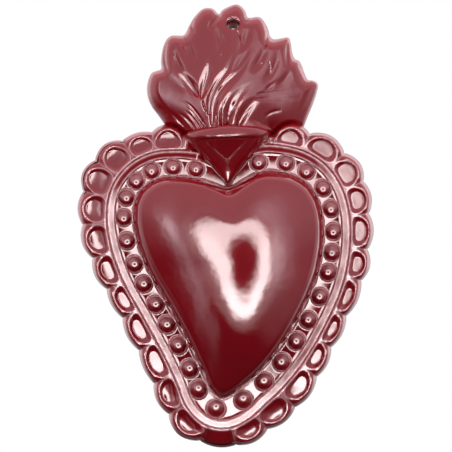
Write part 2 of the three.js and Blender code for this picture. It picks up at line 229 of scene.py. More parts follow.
CHANNEL_TILT = [  # degrees outward
    (0, 4.7), (60, 4.8), (80, 2.4), (100, 2.4), (120, 4.8), (190, 4.4), (205, 2), (218, 0), (244, 0),
    (257, 7.5), (284, 7.5), (298, 4), (308, 0), (322, 0), (340, 3.8), (360, 4.7),
]
DROOP_FROM_BAND = 1
BEAD_PAINTED_SHEEN = 0.2  # painted reflection of the bright space above: how much it lightens a ball's upper half
BEAD_SHEEN_START = (0.04, 0.2)  # in shares of its radius above its middle: where that starts, and its rise
BEAD_CURVE = 1.38  # radius of a ball's cap, in shares of its own
BEAD_SQUARENESS = 16  # how upright its side is below the cap
BEAD_SIDES = 32
BEAD_LEAN = [  # a ball's crown from its middle, upward in shares of its radius, by its height on the wall
    (-193, 0.3), (-184, 0.2), (-175, 0.1), (-165, 0), (-122, 0), (-108, -0.17), (-60, -0.17),
]


def smooth(x):
    x = np.clip(x, 0, 1)
    return x * x * (3 - 2 * x)


def stepped(value, start, width):
    """Rises from 0 to 1 as a value goes over a width from a start."""
    return smooth((value - start) / width)


def bell(x):
    """Falls from 1 at zero towards 0 on both sides."""
    return np.exp(-(x**2))


def mix(a, b, share):
    return a + (b - a) * share


def unit(vectors):
    return vectors / np.linalg.norm(vectors, axis=-1, keepdims=True)


def right_of(loop):
    """Unit vectors that point to the right of a closed line, at each of its points."""
    along = np.roll(loop, -1, 0) - np.roll(loop, 1, 0)
    return unit(np.column_stack([along[:, 1], -along[:, 0]]))


def ramp(x, rounding=0.22):
    """Rises from 0 to 1 in an even slope with rounded ends."""
    x = np.clip(x, 0, 1)
    steep = 1 / (1 - rounding)
    start = steep * x**2 / (2 * rounding)
    end = 1 - steep * (1 - x) ** 2 / (2 * rounding)
    return np.where(x < rounding, start, np.where(x > 1 - rounding, end, steep * (x - rounding / 2)))


def smooth_line(points, count, closed):
    """Evenly spaced points on a centripetal Catmull-Rom curve through the given ones."""
    points = np.asarray(points, float)
    if closed:
        ends = np.vstack([points[-1:], points, points[:2]])
    else:
        ends = np.vstack([2 * points[0] - points[1], points, 2 * points[-1] - points[-2]])
    fine = []
    shares = np.linspace(0, 1, CURVE_STEPS + 1)[:-1, None]
    for before, start, end, after in zip(ends, ends[1:], ends[2:], ends[3:]):
        spans = [math.sqrt(math.dist(a, b)) for a, b in ((before, start), (start, end), (end, after))]
        chord = (end - start) / spans[1]
        leave = (start - before) / spans[0] - (end - before) / (spans[0] + spans[1]) + chord
        arrive = chord - (after - start) / (spans[1] + spans[2]) + (after - end) / spans[2]
        leave, arrive = leave * spans[1], arrive * spans[1]
        square = -3 * start + 3 * end - 2 * leave - arrive
        cube = 2 * start - 2 * end + leave + arrive
        fine.append(start + leave * shares + square * shares**2 + cube * shares**3)
    fine.append(ends[-2][None, :])
    fine = np.vstack(fine)
    run = np.concatenate([[0], np.cumsum(np.linalg.norm(np.diff(fine, axis=0), axis=1))])
    stops = np.linspace(0, run[-1], count + 1)[:-1] if closed else np.linspace(0, run[-1], count)
    return np.column_stack([np.interp(stops, run, fine[:, axis]) for axis in range(points.shape[1])])


def heart_place(across, down):
    return np.array([HEART_SHIFT + across / 100 * HEART_WIDTH, HEART_TOP - down / 100 * HEART_HEIGHT])


def raised(places, rises):
    """Points of the relief at places on the wall and rises from it."""
    places = np.asarray(places, float)
    rises = np.broadcast_to(np.asarray(rises, float), places.shape[:-1])
    return np.stack([places[..., 0], -rises, places[..., 1]], axis=-1)


def path_distance(places, path, reach):
    """How far each place is from a path, how far along the path its nearest point lies, and on which side
    the place is. A place beyond reach is given as far away."""
    best = np.full(len(places), FAR)
    share = np.zeros(len(places))
    side = np.zeros(len(places))
    stretch = 8
    for first in range(0, len(path) - 1, stretch):
        part = path[first : first + stretch + 1]
        close = (places > part.min(0) - reach) & (places < part.max(0) + reach)
        held = np.flatnonzero(close.all(axis=1))
        for k in range(len(part) - 1):
            along = part[k + 1] - part[k]
            t = np.clip((places[held] - part[k]) @ along / (along @ along), 0, 1)
            off = places[held] - (part[k] + t[:, None] * along)
            distance = np.hypot(off[:, 0], off[:, 1])
            nearer = distance < best[held]
            there = held[nearer]
            best[there] = distance[nearer]
            share[there] = (first + k + t[nearer]) / (len(path) - 1)
            side[there] = np.sign(along[0] * off[nearer, 1] - along[1] * off[nearer, 0])
    return best, share, side


def angles(count):
    """Even steps round a circle."""
    return np.arange(count) * 2 * math.pi / count


def ellipse(middle, halves, count):
    turn = angles(count)
    return np.array(middle) + np.column_stack([np.cos(turn), np.sin(turn)]) * halves


# Meshes

SHARP = math.radians(50)  # edges sharper than this aren't smoothed where a mesh has no normals of its own


def grid_faces(rows, columns, close_rows, close_columns):
    """Faces between the points of a grid, whose rows or columns may close on themselves."""
    faces = []
    for r in range(rows if close_rows else rows - 1):
        here = r * columns
        below = (r + 1) % rows * columns
        for c in range(columns if close_columns else columns - 1):
            beside = (c + 1) % columns
            faces.append((here + c, here + beside, below + beside, below + c))
    return faces


def ringed(sheet, first_end, last_end):
    """Points and faces of a closed solid made of rings, with a point that closes it at either end."""
    rings, sides = sheet.shape[:2]
    points = np.vstack([sheet.reshape(-1, 3), first_end, last_end])
    faces = grid_faces(rings, sides, close_rows=False, close_columns=True)
    last = (rings - 1) * sides
    for c in range(sides):
        beside = (c + 1) % sides
        faces.append((beside, c, rings * sides))
        faces.append((last + c, last + beside, rings * sides + 1))
    return points, faces


def turned_out(points, faces):
    """The faces of a closed solid, turned so that they all point out."""
    fans = [(face[0], face[k], face[k + 1]) for face in faces for k in range(1, len(face) - 1)]
    a, b, c = points[np.array(fans)].transpose(1, 0, 2) - points.mean(0)
    volume = np.sum(a * np.cross(b, c))
    return faces if volume > 0 else [tuple(reversed(face)) for face in faces]


def placed(name, data):
    """New object in the scene."""
    made = bpy.data.objects.new(name, data)
    bpy.context.scene.collection.objects.link(made)
    return made


def piece(node, points, faces, slot=None, normals=None, plain=(), **fields):
    """Glazed object that stands for a node of the construction. Faces whose number is in plain are flat,
    the others take the given normals at their points, and each field becomes a number on every point."""
    name = node + "_glazed"
    mesh = bpy.data.meshes.new(name)
    mesh.from_pydata((points * MM).tolist(), [], turned_out(points, faces))
    flat = np.zeros(len(faces), bool)
    flat[list(plain)] = True
    mesh.polygons.foreach_set("use_smooth", ~flat)
    for key, values in fields.items():
        layer = mesh.attributes.new(key, "FLOAT", "POINT")
        layer.data.foreach_set("value", np.asarray(values, np.float32))
    mesh.materials.append(glaze)
    if normals is None:
        mesh.set_sharp_from_angle(angle=SHARP)
    else:
        corners = np.zeros(len(mesh.loops), int)
        mesh.loops.foreach_get("vertex_index", corners)
        sides = np.zeros(len(mesh.polygons), int)
        mesh.polygons.foreach_get("loop_total", sides)
        keep = np.repeat(~flat, sides)
        mesh.normals_split_custom_set(np.where(keep[:, None], normals[corners], 0))
    made = placed(name, mesh)
    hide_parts(node)
    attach(made, "root")


def sheet_normals(sheet):
    """Normals of a grid of points that faces the front and whose columns go all the way round."""
    across = np.roll(sheet, -1, 1) - np.roll(sheet, 1, 1)
    normals = np.cross(np.gradient(sheet, axis=0), across)
    normals /= np.linalg.norm(normals, axis=2, keepdims=True) + 1e-12
    return normals if normals[..., 1].mean() < 0 else -normals


# Materials


def new_material(name):
    made = bpy.data.materials.new(name)
    made.use_nodes = True
    return made, made.node_tree


def add_node(tree, kind, **inputs):
    made = tree.nodes.new("ShaderNode" + kind)
    for key, value in inputs.items():
        made.inputs[key].default_value = value
    return made


def reckon(tree, operation, first, second):
    """A number worked out from two others, each a socket or a value."""
    made = add_node(tree, "Math")
    made.operation = operation
    for socket, value in zip(made.inputs, (first, second)):
        if isinstance(value, (int, float)):
            socket.default_value = value
        else:
            tree.links.new(value, socket)
    return made.outputs["Value"]


def ranged(tree, value, low, high, to_low=0, to_high=1):
    """A number carried from one range to another."""
    made = add_node(tree, "MapRange")
    tree.links.new(value, made.inputs["Value"])
    for key, bound in (("From Min", low), ("From Max", high), ("To Min", to_low), ("To Max", to_high)):
        made.inputs[key].default_value = bound
    return made.outputs["Result"]


def blended(tree, share, first, second):
    """Colour between two, each a socket or a colour."""
    made = add_node(tree, "Mix")
    made.data_type = "RGBA"
    tree.links.new(share, made.inputs["Factor"])
    for key, colour in (("A", first), ("B", second)):
        if isinstance(colour, tuple):
            made.inputs[key].default_value = (*colour, 1)
        else:
            tree.links.new(colour, made.inputs[key])
    return made.outputs["Result"]


def noise(tree, place, scale, detail):
    made = add_node(tree, "TexNoise", Scale=scale, Detail=detail, Roughness=0.5)
    tree.links.new(place, made.inputs["Vector"])
    return made.outputs["Fac"]


def field(tree, name, output="Fac"):
    """A number or colour that the mesh holds on its points."""
    made = add_node(tree, "Attribute")
    made.attribute_name = name
    return made.outputs[output]


def embossed(tree, height, distance, under=None):
    """Normal that a height gives, on top of another one."""
    made = add_node(tree, "Bump", Strength=1, Distance=distance)
    tree.links.new(height, made.inputs["Height"])
    if under is not None:
        tree.links.new(under, made.inputs["Normal"])
    return made.outputs["Normal"]


GLAZE_DEEP = (0.21, 0.0034, 0.0085)
GLAZE_FULL = (0.262, 0.0046, 0.0115)
GLAZE_THIN = (0.3, 0.009, 0.016)
# Pale pink of glaze broken thin over edges, also used for painted highlights in corners and painted
# reflection on the balls
GLAZE_BREAK_AND_HIGHLIGHT = (0.88, 0.54, 0.58)
SPECK = (0.6, 0.25, 0.27)
CLAY_DARK = (0.4, 0.27, 0.19)
CLAY_PALE = (0.6, 0.46, 0.35)

# Sizes of the glaze's patterns, in waves or cells a metre, and depths of its relief in metres
DRIFT_SCALE = 38
WAVE_SCALE = 95
SPECK_SCALE = 210
RAGGED_SCALE = 260
UNEVEN_SCALE = 420
GRAIN_SCALE = 700
SKIN_SCALE = 900
WAVE_DEPTH = 0.00016
SKIN_DEPTH = 0.000006
PIT_DEPTH = 0.0001
GRAIN_DEPTH = 0.0004

# Ranges of the fields and patterns over which the looks change
FILM_THIN = (0.05, -0.35)
UNEVEN_FROM = (0.35, 0.65)
UNEVEN_TO = (0.6, 1.1)
SPECK_CHOSEN = (0.95, 0.97)  # the few cells that hold a speck
SPECK_SIZE = (0.06, 0.03)
RAGGEDNESS = 0.5
CLAY_SHOWS = (0.68, 0.76)
GLOSS_FROM = (0.2, 0.8)
GLOSS_TO = (0.055, 0.11)  # roughness of the glaze
CLAY_ROUGHNESS = 0.7  # on top of the glaze's
GLAZE_IOR = 1.5


def wine_glaze(name):
    """Deep wine-red glaze, thinner and lighter on edges and pale pink where the pale field rises: broken
    thin over ridges and rims, painted highlight in corners and painted reflection on the balls' tops.
    It has soft waves and a few small specks, and gives way to buff clay where the bare field rises."""
    material, tree = new_material(name)
    link = tree.links.new
    shader = tree.nodes["Principled BSDF"]
    place = add_node(tree, "TexCoord").outputs["Object"]

    drift = noise(tree, place, DRIFT_SCALE, 3)
    body = blended(tree, drift, GLAZE_DEEP, GLAZE_FULL)
    thin = ranged(tree, field(tree, "glaze"), *FILM_THIN)
    lined = blended(tree, thin, body, GLAZE_THIN)
    uneven = ranged(tree, noise(tree, place, UNEVEN_SCALE, 3), *UNEVEN_FROM, *UNEVEN_TO)
    # The pale field paints broken glaze on edges, a painted highlight in corners and a painted reflection on
    # the balls' tops
    broken_and_highlit = blended(tree, reckon(tree, "MULTIPLY", field(tree, "pale"), uneven), lined, GLAZE_BREAK_AND_HIGHLIGHT)

    dots = add_node(tree, "TexVoronoi", Scale=SPECK_SCALE)
    link(place, dots.inputs["Vector"])
    chosen = ranged(tree, dots.outputs["Color"], *SPECK_CHOSEN)
    near = ranged(tree, dots.outputs["Distance"], *SPECK_SIZE)
    speck = reckon(tree, "MULTIPLY", chosen, near)
    speckled = blended(tree, speck, broken_and_highlit, SPECK)

    ragged = reckon(tree, "MULTIPLY", noise(tree, place, RAGGED_SCALE, 4), RAGGEDNESS)
    unglazed = ranged(tree, reckon(tree, "ADD", field(tree, "bare"), ragged), *CLAY_SHOWS)
    grain = noise(tree, place, GRAIN_SCALE, 5)
    clay = blended(tree, grain, CLAY_DARK, CLAY_PALE)
    link(blended(tree, unglazed, speckled, clay), shader.inputs["Base Color"])
    gloss = ranged(tree, drift, *GLOSS_FROM, *GLOSS_TO)
    dull = ranged(tree, unglazed, 0, 1, 0, CLAY_ROUGHNESS)
    link(reckon(tree, "ADD", gloss, dull), shader.inputs["Roughness"])

    waves = embossed(tree, noise(tree, place, WAVE_SCALE, 2), WAVE_DEPTH)
    skin = embossed(tree, noise(tree, place, SKIN_SCALE, 1), SKIN_DEPTH, waves)
    pitted = embossed(tree, reckon(tree, "MULTIPLY", speck, -1), PIT_DEPTH, skin)
    rough = embossed(tree, reckon(tree, "MULTIPLY", grain, unglazed), GRAIN_DEPTH, pitted)
    link(rough, shader.inputs["Normal"])
    shader.inputs["IOR"].default_value = GLAZE_IOR
    return material


glaze = wine_glaze("wine_glaze")


# Border laid out round the heart

foot = smooth_line([heart_place(*p) for p in HEART_DRAWING], FOOT_STEPS, closed=True)
cleft = foot[0]
summit = heart_place(*SUMMIT)
at_top = foot[:, 1] > HEART_TOP - 2 * CLEFT_FAR
lift = 1 - stepped(np.abs(foot[:, 0] - cleft[0]), CLEFT_NEAR, CLEFT_FAR - CLEFT_NEAR)
outward = unit(mix(right_of(foot), np.array([0, 1]), (lift * at_top)[:, None]))
toe_step = int(foot[:, 1].argmin())
step_length = math.dist(foot[0], foot[1])
slack = TOE_SLACK * bell((np.arange(FOOT_STEPS) - toe_step) * step_length / TOE_REACH)
bead_width = mix(BEAD_AT_TOP, BEAD_AT_TOE, np.clip((HEART_TOP - foot[:, 1]) / HEART_HEIGHT, 0, 1))
channel = bead_width + BEAD_HEART_GAP + BEAD_BAND_GAP + slack
band_edge = channel + BAND_WIDTH
band_outer = foot + outward * band_edge[:, None]
band_first = round(BAND_START * FOOT_STEPS)
band_last = round(BAND_END * FOOT_STEPS)
corners = np.array([heart_place(across, down) for across, down, _ in PETAL_CORNERS])
corner_steps = [
    band_first + int(np.linalg.norm(band_outer[band_first : band_last + 1] - corner, axis=1).argmin())
    for corner in corners
]


def on_ring(values, steps):
    """Values of the heart's ring at steps that needn't be whole."""
    low = np.floor(steps).astype(int)
    share = steps - low
    if values.ndim == 2:
        share = share[:, None]
    return mix(values[low % FOOT_STEPS], values[(low + 1) % FOOT_STEPS], share)


# Columns of the relief: the cell that each is in, its share of the way across it, its step of the heart's
# ring, its place on the slab's edge, and the cell's width at the band and at that edge.
cells = []
for cell in range(CELLS + 1):
    following = (cell + 1) % (CELLS + 1)
    wraps = following == 0
    count = PLAIN_COLUMNS if wraps else COLUMNS
    shares = np.arange(count) / count
    chord = corners[following] - corners[cell]
    outer_width = np.hypot(*chord)
    out = np.array([chord[1], -chord[0]]) / outer_width
    bulge = PETAL_CORNERS[cell][2] * np.sin(np.pi * shares) ** BULGE_ROUNDNESS
    steps = mix(corner_steps[cell], corner_steps[following] + FOOT_STEPS * wraps, shares)
    rim = corners[cell] + chord * shares[:, None] + out * bulge[:, None]
    inner_width = math.dist(band_outer[corner_steps[cell]], band_outer[corner_steps[following]])
    widths = [np.full(count, width) for width in (inner_width, outer_width)]
    cells.append((np.full(count, cell), shares, steps, rim, *widths))
col_cell, col_share, col_step, col_rim, col_inner, col_outer = map(np.concatenate, zip(*cells))
col_foot = on_ring(foot, col_step)
col_out = unit(on_ring(outward, col_step))
col_channel = on_ring(channel, col_step)
col_band = col_foot + col_out * (col_channel + BAND_WIDTH)[:, None]
col_depth = np.linalg.norm(col_rim - col_band, axis=1)
col_side = np.minimum(col_share, 1 - col_share)
col_dish = col_depth - DISH_FROM_BAND - DISH_FROM_EDGE
from_middle = col_band - heart_place(*BORDER_MIDDLE)
col_bearing = np.degrees(np.arctan2(from_middle[:, 1], from_middle[:, 0])) % 360


def looked_up(table, value):
    """Value of a table between its rows."""
    return np.interp(value, *np.array(table).T)


def slopes_round_heart(table):
    return np.tan(np.radians(looked_up(table, col_bearing)))


col_droop = slopes_round_heart(PETAL_DROOP)
col_band_tilt = slopes_round_heart(BAND_TILT)
col_channel_tilt = slopes_round_heart(CHANNEL_TILT)
col_trough = looked_up(CHANNEL_TROUGH, col_bearing)
col_bowl = looked_up(PETAL_BOWL, col_bearing)
col_turn = col_step % FOOT_STEPS
band_there = smooth((col_turn - band_first) / BAND_FADE) * smooth((band_last - col_turn) / BAND_FADE)
col_seam = mix(SLAB, SEAM_RISE, band_there)

# Rows of the relief, outward: under the dome, channel, band, petals and the slab's edge.
HIDDEN_ROWS = [-1.5, -0.8]
CHANNEL_ROWS = np.concatenate([np.linspace(0, 0.88, 24), np.linspace(0.895, 1, 12)])
BAND_ROWS = [0, 0.1, 0.25, 0.45, 0.65, 0.8, 0.85, 0.88, 0.91, 0.94, 0.97, 1]
SEAM_ROWS = [0, 0.15, 0.3, 0.45, 0.6, 0.8, 1.1]
DISH_ROWS = np.linspace(0, 1, 25)[1:]
EDGE_ROWS = [1.2, 0.85, 0.55, 0.3, 0.12, 0]

bead_names = [f"bead_{n:02d}" for n in range(1, 30)]
bead_spots = []
for name in bead_names:
    low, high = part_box(name)
    spot = ((low.x + high.x) / 2 / MM, (low.z + high.z) / 2 / MM)
    bead_spots.append((np.array(spot), (high.x - low.x) / 2 / MM))


def fillet(distance, radius):
    """Height of the glaze that fills a corner, at a distance from its upright side."""
    skirt = SKIRT_SLOPE * np.clip(SKIRT_WIDTH - distance, 0, None)
    return FILLET_STEEPNESS * radius * np.clip(1 - distance / radius, 0, None) ** 2 + skirt


def band_step(from_band):
    """How far the band's side has risen at a distance outside its inner edge, from 0 to 1."""
    return smooth((BAND_FOOT - from_band) / (BAND_FOOT - BAND_TOP)) * band_there


def channel_rise(places, from_heart, to_band):
    by_beads = 0
    for spot, radius in bead_spots:
        from_bead = np.hypot(places[:, 0] - spot[0], places[:, 1] - spot[1]) - radius
        by_beads = np.maximum(by_beads, fillet(np.clip(from_bead, 0, None), FILLET_AT_BEAD))
    heights = fillet(from_heart, FILLET_AT_HEART) + by_beads
    heights = np.maximum(heights, SKIRT_SLOPE * (SKIRT_WIDTH + BAND_FOOT - to_band))
    width = from_heart + to_band
    across = 2 * from_heart / width - 1
    bed = col_trough * (across**2 - 0.5) - col_channel_tilt * across * width / 2
    bed = bed * smooth(np.minimum(np.clip(from_heart, 0, None), to_band) / BED_FADE)
    top = BAND_RISE + col_band_tilt * (to_band + BAND_WIDTH / 2)
    return SLAB + mix(heights + bed, top, band_step(to_band))


def band_rise_at(into):
    """Rise of the band at a distance from its inner edge."""
    tilt = col_band_tilt * (into - BAND_WIDTH / 2)
    down = 1 - smooth((BAND_WIDTH - into) / SEAM_WIDTH)
    return mix(SLAB + (BAND_RISE - tilt) * band_step(-into), col_seam, down)


chance = np.random.default_rng(11)
dish_shift = chance.uniform(-DISH_SHIFT, DISH_SHIFT, (CELLS + 1, 2))
dish_scoop = PETAL_SCOOP * chance.uniform(0.92, 1.08, CELLS + 1)
dish_wall = PETAL_WALL * chance.uniform(0.9, 1.12, CELLS + 1)


def dish_measure(into):
    """For each column at a distance from the band: how far out it lies in its petal's dish, whose side is at
    1, the dish's half width, and the distance to the petal's side."""
    width = mix(col_inner, col_outer, into / col_depth)
    half = width / 2 - RIDGE_HALF
    across = (col_share - 0.5) * width + dish_shift[col_cell, 0]
    up = into - DISH_FROM_BAND - col_dish / 2 + dish_shift[col_cell, 1]
    power = np.where(up < 0, PETAL_SQUARENESS, PETAL_ROUNDNESS)
    measure = (np.abs(across / half) ** power + np.abs(2 * up / col_dish) ** power) ** (1 / power)
    return measure, half, col_side * width


def petal_rise(into, out):
    """Rise of the border outside the band, at distances from the band and from the slab's edge."""
    measure, half, from_side = dish_measure(into)
    inside = np.clip(1 - measure, 0, 1) * np.minimum(half, col_dish / 2)
    flat_floor = ramp(inside / dish_wall[col_cell])
    round_floor = 1 - np.clip(measure, 0, 1) ** 2
    dish = dish_scoop[col_cell] * mix(flat_floor, BOWL_DEPTH * round_floor, col_bowl)
    saddle = SADDLE * bell(from_side / SADDLE_WIDTH) * bell(out / SADDLE_LENGTH)
    pad = PETAL_CREST - dish - saddle
    ridge = PETAL_CREST - saddle
    toe = mix(SLAB + TOE_FOOT, TOE_CREST, np.sqrt(np.clip(out / col_depth, 0, 1)))
    by_ridge = 1 - smooth(from_side / np.where(col_cell == CELLS, TAB_WIDTH, RIDGE_REACH))
    level = np.where(col_cell == TOE_CELL, mix(toe, ridge, by_ridge), pad)
    level = np.where(col_cell == CELLS, mix(SLAB, ridge, by_ridge), level)
    level = mix(level, col_seam, 1 - smooth(into / SEAM_TO_PETAL))
    level = level - col_droop * np.clip(into - DROOP_FROM_BAND, 0, None) * (col_cell < CELLS)
    rounding = np.clip(1 - out / EDGE_ROUND, 0, 1) ** EDGE_POWER
    return mix(level, EDGE_RISE, rounding)


relief_rows, relief_rises = [], []
for d in HIDDEN_ROWS:
    relief_rows.append(col_foot + col_out * d)
    relief_rises.append(SLAB + fillet(np.full(len(col_step), float(d)), FILLET_AT_HEART))
for share in CHANNEL_ROWS:
    away = col_channel * share
    relief_rows.append(col_foot + col_out * away[:, None])
    relief_rises.append(channel_rise(relief_rows[-1], away, col_channel - away))
for share in BAND_ROWS[1:]:
    relief_rows.append(col_foot + col_out * (col_channel + BAND_WIDTH * share)[:, None])
    relief_rises.append(band_rise_at(BAND_WIDTH * share))
to_ledge = col_depth - EDGE_ROWS[0]
petal_into = [np.full(len(col_step), d) for d in SEAM_ROWS[1:]]
petal_into += [SEAM_ROWS[-1] + (to_ledge - SEAM_ROWS[-1]) * share for share in DISH_ROWS]
petal_into += [col_depth - out for out in EDGE_ROWS[1:]]
to_rim = (col_rim - col_band) / col_depth[:, None]
for into in petal_into:
    relief_rows.append(col_band + to_rim * into[:, None])
    relief_rises.append(petal_rise(into, col_depth - into))
relief = raised(np.array(relief_rows), np.array(relief_rises))
relief_normals = sheet_normals(relief)

# Thickness of the glaze, from how far the relief lies below its own softened surface
SOFTENING_PASSES = 14
softened = relief[..., 1].copy()
for _ in range(SOFTENING_PASSES):
    sides = np.roll(softened, 1, 1) + np.roll(softened, -1, 1)
    softened[1:-1] = (softened[1:-1] * 2 + sides[1:-1] + softened[:-2] + softened[2:]) / 6
relief_film = relief[..., 1] - softened

# Numbers of the rows where the relief's stretches start
first_channel = len(HIDDEN_ROWS)
first_band = first_channel + len(CHANNEL_ROWS) - 1
first_petal = first_band + len(BAND_ROWS) - 1
first_edge = first_petal + len(SEAM_ROWS) - 1 + len(DISH_ROWS)


def pale_line(distance, width=LINE_WIDTH):
    """How pale the glaze is at a distance from an edge or corner, from 0 to 1: glaze broken thin on an edge,
    painted highlight in a corner.
    """
    return bell(distance / width)


def relief_lines():
    """How pale the glaze is at each point of the relief: broken thin over the band's outer edge and the
    petals' rims and ridges, painted highlight in the corners round the heart's foot and the beads, at the
    band's foot and at the seam.
    """
    lines = np.zeros(relief.shape[:2])
    for r, share in enumerate(CHANNEL_ROWS, first_channel):
        lines[r] = pale_line(col_channel * share)
    in_channel = lines[: first_band + 1]
    spots = relief[: first_band + 1, :, [0, 2]]
    for spot, radius in bead_spots:
        near = np.abs(spots - spot).max(axis=2) < radius + LINE_REACH
        from_bead = np.linalg.norm(spots[near] - spot, axis=1) - radius
        line = pale_line(np.clip(from_bead - LINE_FROM_BEAD, 0, None))
        in_channel[near] = np.maximum(in_channel[near], line)
    into = np.concatenate([col_channel.mean() * (CHANNEL_ROWS - 1), BAND_WIDTH * np.array(BAND_ROWS[1:])])
    for r, distance in enumerate(into, first_channel):
        edges = np.maximum(pale_line(distance + BAND_TOP), pale_line(distance - BAND_WIDTH + SEAM_WIDTH))
        lines[r] = np.maximum(lines[r], edges * band_there)
    for r, into in enumerate(petal_into, first_petal + 1):
        measure, half, from_side = dish_measure(into)
        rim = RIM_LINE * pale_line((measure - 1) * half, RIM_LINE_WIDTH)
        ridge = RIDGE_LINE * pale_line(from_side, RIDGE_LINE_WIDTH)
        at_seam = pale_line(into - SEAM_TO_PETAL)
        line = np.where(col_cell == TOE_CELL, at_seam, np.maximum(np.maximum(rim, ridge), at_seam))
        lines[r] = line * smooth((col_depth - into) / EDGE_ROUND) * (col_cell < CELLS)
    return lines


relief_pale = relief_lines()


def carried(values, row_count, stretches, columns=slice(None)):
    """Values of the relief for a sheet that takes stretches of its rows, and 0 in its other rows."""
    held = np.zeros((row_count, *values[0, columns].shape))
    for taken, put in stretches:
        held[put] = values[taken][:, columns]
    return held.reshape(-1, *values.shape[2:])


def back_plate():
    columns = len(col_step)
    from_summit = col_foot - summit
    hollow = summit + from_summit * (1 - HOLLOW_INSET / np.linalg.norm(from_summit, axis=1))[:, None]
    rim_normal = right_of(col_rim)
    seats = relief[[first_band, first_edge]].copy()
    seats[..., 1] = -UNDER_CLAY
    sheet = [raised(hollow, SLAB), *relief[: first_band + 1], *seats, *relief[first_edge:]]
    sheet += [raised(col_rim - rim_normal * inset, rise) for inset, rise in BACK_EDGE]
    sheet += [raised(mix(col_rim, hollow, 0.5), 0), raised(hollow, 0)]
    sheet = np.array(sheet)
    rows = len(sheet)
    inner = slice(1, first_band + 2)
    outer = slice(inner.stop + len(seats), inner.stop + len(seats) + len(relief) - first_edge)
    stretches = [(slice(0, first_band + 1), inner), (slice(first_edge, None), outer)]
    bare = np.zeros(sheet.shape[:2])
    bare[[0, -3, -2, -1]] = 1
    faces = grid_faces(rows, columns, close_rows=True, close_columns=True)
    smooth_rows = {*range(inner.start, inner.stop - 1), *range(outer.start, outer.stop - 1)}
    piece(
        "back_plate",
        sheet.reshape(-1, 3),
        faces,
        normals=carried(relief_normals, rows, stretches),
        plain=[k for k in range(len(faces)) if k // columns not in smooth_rows],
        glaze=carried(relief_film, rows, stretches),
        pale=carried(relief_pale, rows, stretches),
        bare=bare.ravel(),
    )


def relief_piece(node, rows, columns, slot=None):
    """Closed piece cut out of the relief: given rows and columns of it, upright sides and a flat bottom."""
    top = relief[rows][:, columns]
    bottom = top[[-1, 0]].copy()
    bottom[..., 1] = -UNDER_CLAY
    sheet = np.concatenate([top, bottom])
    count = len(columns)
    faces = grid_faces(len(sheet), count, close_rows=True, close_columns=False)
    plain = range((len(top) - 1) * (count - 1), len(faces) + 2)
    side = range(0, len(sheet) * count, count)
    faces.append(tuple(side))
    faces.append(tuple(k + count - 1 for k in reversed(side)))
    normals, film, pale = [
        carried(values, len(sheet), [(rows, slice(0, len(top)))], columns)
        for values in (relief_normals, relief_film, relief_pale)
    ]
    piece(node, sheet.reshape(-1, 3), faces, slot, normals, plain, glaze=film, pale=pale)


def border():
    there = band_there > 0
    start = int(np.flatnonzero(there & (np.roll(band_there, 1) <= 0))[0])
    band_columns = (start + np.arange(there.sum())) % len(col_step)
    relief_piece("border_band", np.arange(first_band, first_petal + 1), band_columns)
    rows = np.arange(first_petal, first_edge + 1)
    number = 0
    for cell in range(CELLS):
        before = TAB_COLUMNS if cell == 0 else 0
        after = TAB_COLUMNS if cell == CELLS - 1 else 0
        columns = np.arange(cell * COLUMNS - before, (cell + 1) * COLUMNS + 1 + after)
        if cell == TOE_CELL:
            relief_piece("toe_lip", rows, columns)
            continue
        number += 1
        relief_piece(f"petal_{number:02d}", rows, columns, "petals")


def beads():
    turn = angles(BEAD_SIDES)
    shares = np.concatenate([np.linspace(0, 0.8, 9)[1:], [0.86, 0.91, 0.95, 0.98, 0.995, 1]])[::-1]
    shape = np.random.default_rng(5)
    for name, (spot, radius) in zip(bead_names, bead_spots):
        rise = radius * shape.uniform(1.04, 1.12)
        squash, lean = shape.uniform(-0.025, 0.025), shape.uniform(0, math.pi)
        crown_shift = radius * looked_up(BEAD_LEAN, spot[1])
        cap = BEAD_CURVE * radius
        cap_rise = cap - math.sqrt(cap**2 - radius**2)
        rings, pale = [], []
        for share in shares:
            reach = radius * share * (1 + squash * np.cos(2 * (turn - lean)))
            places = ellipse(spot, reach[:, None], BEAD_SIDES)
            places[:, 1] += crown_shift * (1 - share**2)
            height = math.sqrt(cap**2 - (radius * share) ** 2) - cap + cap_rise
            height += (rise - cap_rise) * math.sqrt(1 - share**BEAD_SQUARENESS)
            rings.append(raised(places, SLAB + height))
            # Painted reflection lightens each ball's upper half, and a pale line round its foot is a painted
            # highlight in the glaze's corner
            upper = BEAD_PAINTED_SHEEN * stepped(share * np.sin(turn), *BEAD_SHEEN_START)
            foot_line = pale_line(max(height - FILLET_AT_BEAD, 0), BEAD_LINE_WIDTH)
            pale.append(np.maximum(upper, foot_line))
        crown = raised(spot + [0, crown_shift], SLAB + rise)
        points, faces = ringed(np.array(rings), raised(spot, SLAB), crown)
        piece(name, points, faces, "beads", pale=np.append(pale, [0, 0]))


# Dome: by bearing from the summit, how far out its slope is gentle and how far out it is middling
DOME_REACHES = [
    (0, 7.5, 13), (30, 9, 15), (51, 11, 19), (76, 13.5, 23), (90, 14, 20.5), (112, 12.5, 21.5),
    (131, 10.5, 29), (147, 9, 33.4), (160, 7, 24), (180, 5.5, 15.5), (207, 6.5, 14.5), (232, 9, 17.8),
    (249, 13.5, 22), (263, 20, 29), (276, 22, 30.5), (295, 14, 19), (320, 9.5, 16),
]
DOME_SLOPES = (0, 6.5, 13, 21, 27.5, 30)  # degrees at the summit, at those two places and further out
DOME_BEYOND = (12, 26)  # from the second place to the next two slopes
DOME_STEP = 0.25
DOME_TURNS = 180
DOME_RUN = 90  # beyond the dome's farthest place
DOME_PASSES = 14
PASS_WEIGHT = 0.4  # of each pass's own result
PASS_BLUR = 2  # in steps of the bearing, like the other two
REACH_BLUR = 3.5
DROP_BLUR = 3
LEAST_SLOPE = 0.3  # straight away from the summit, in shares of the one that is wanted
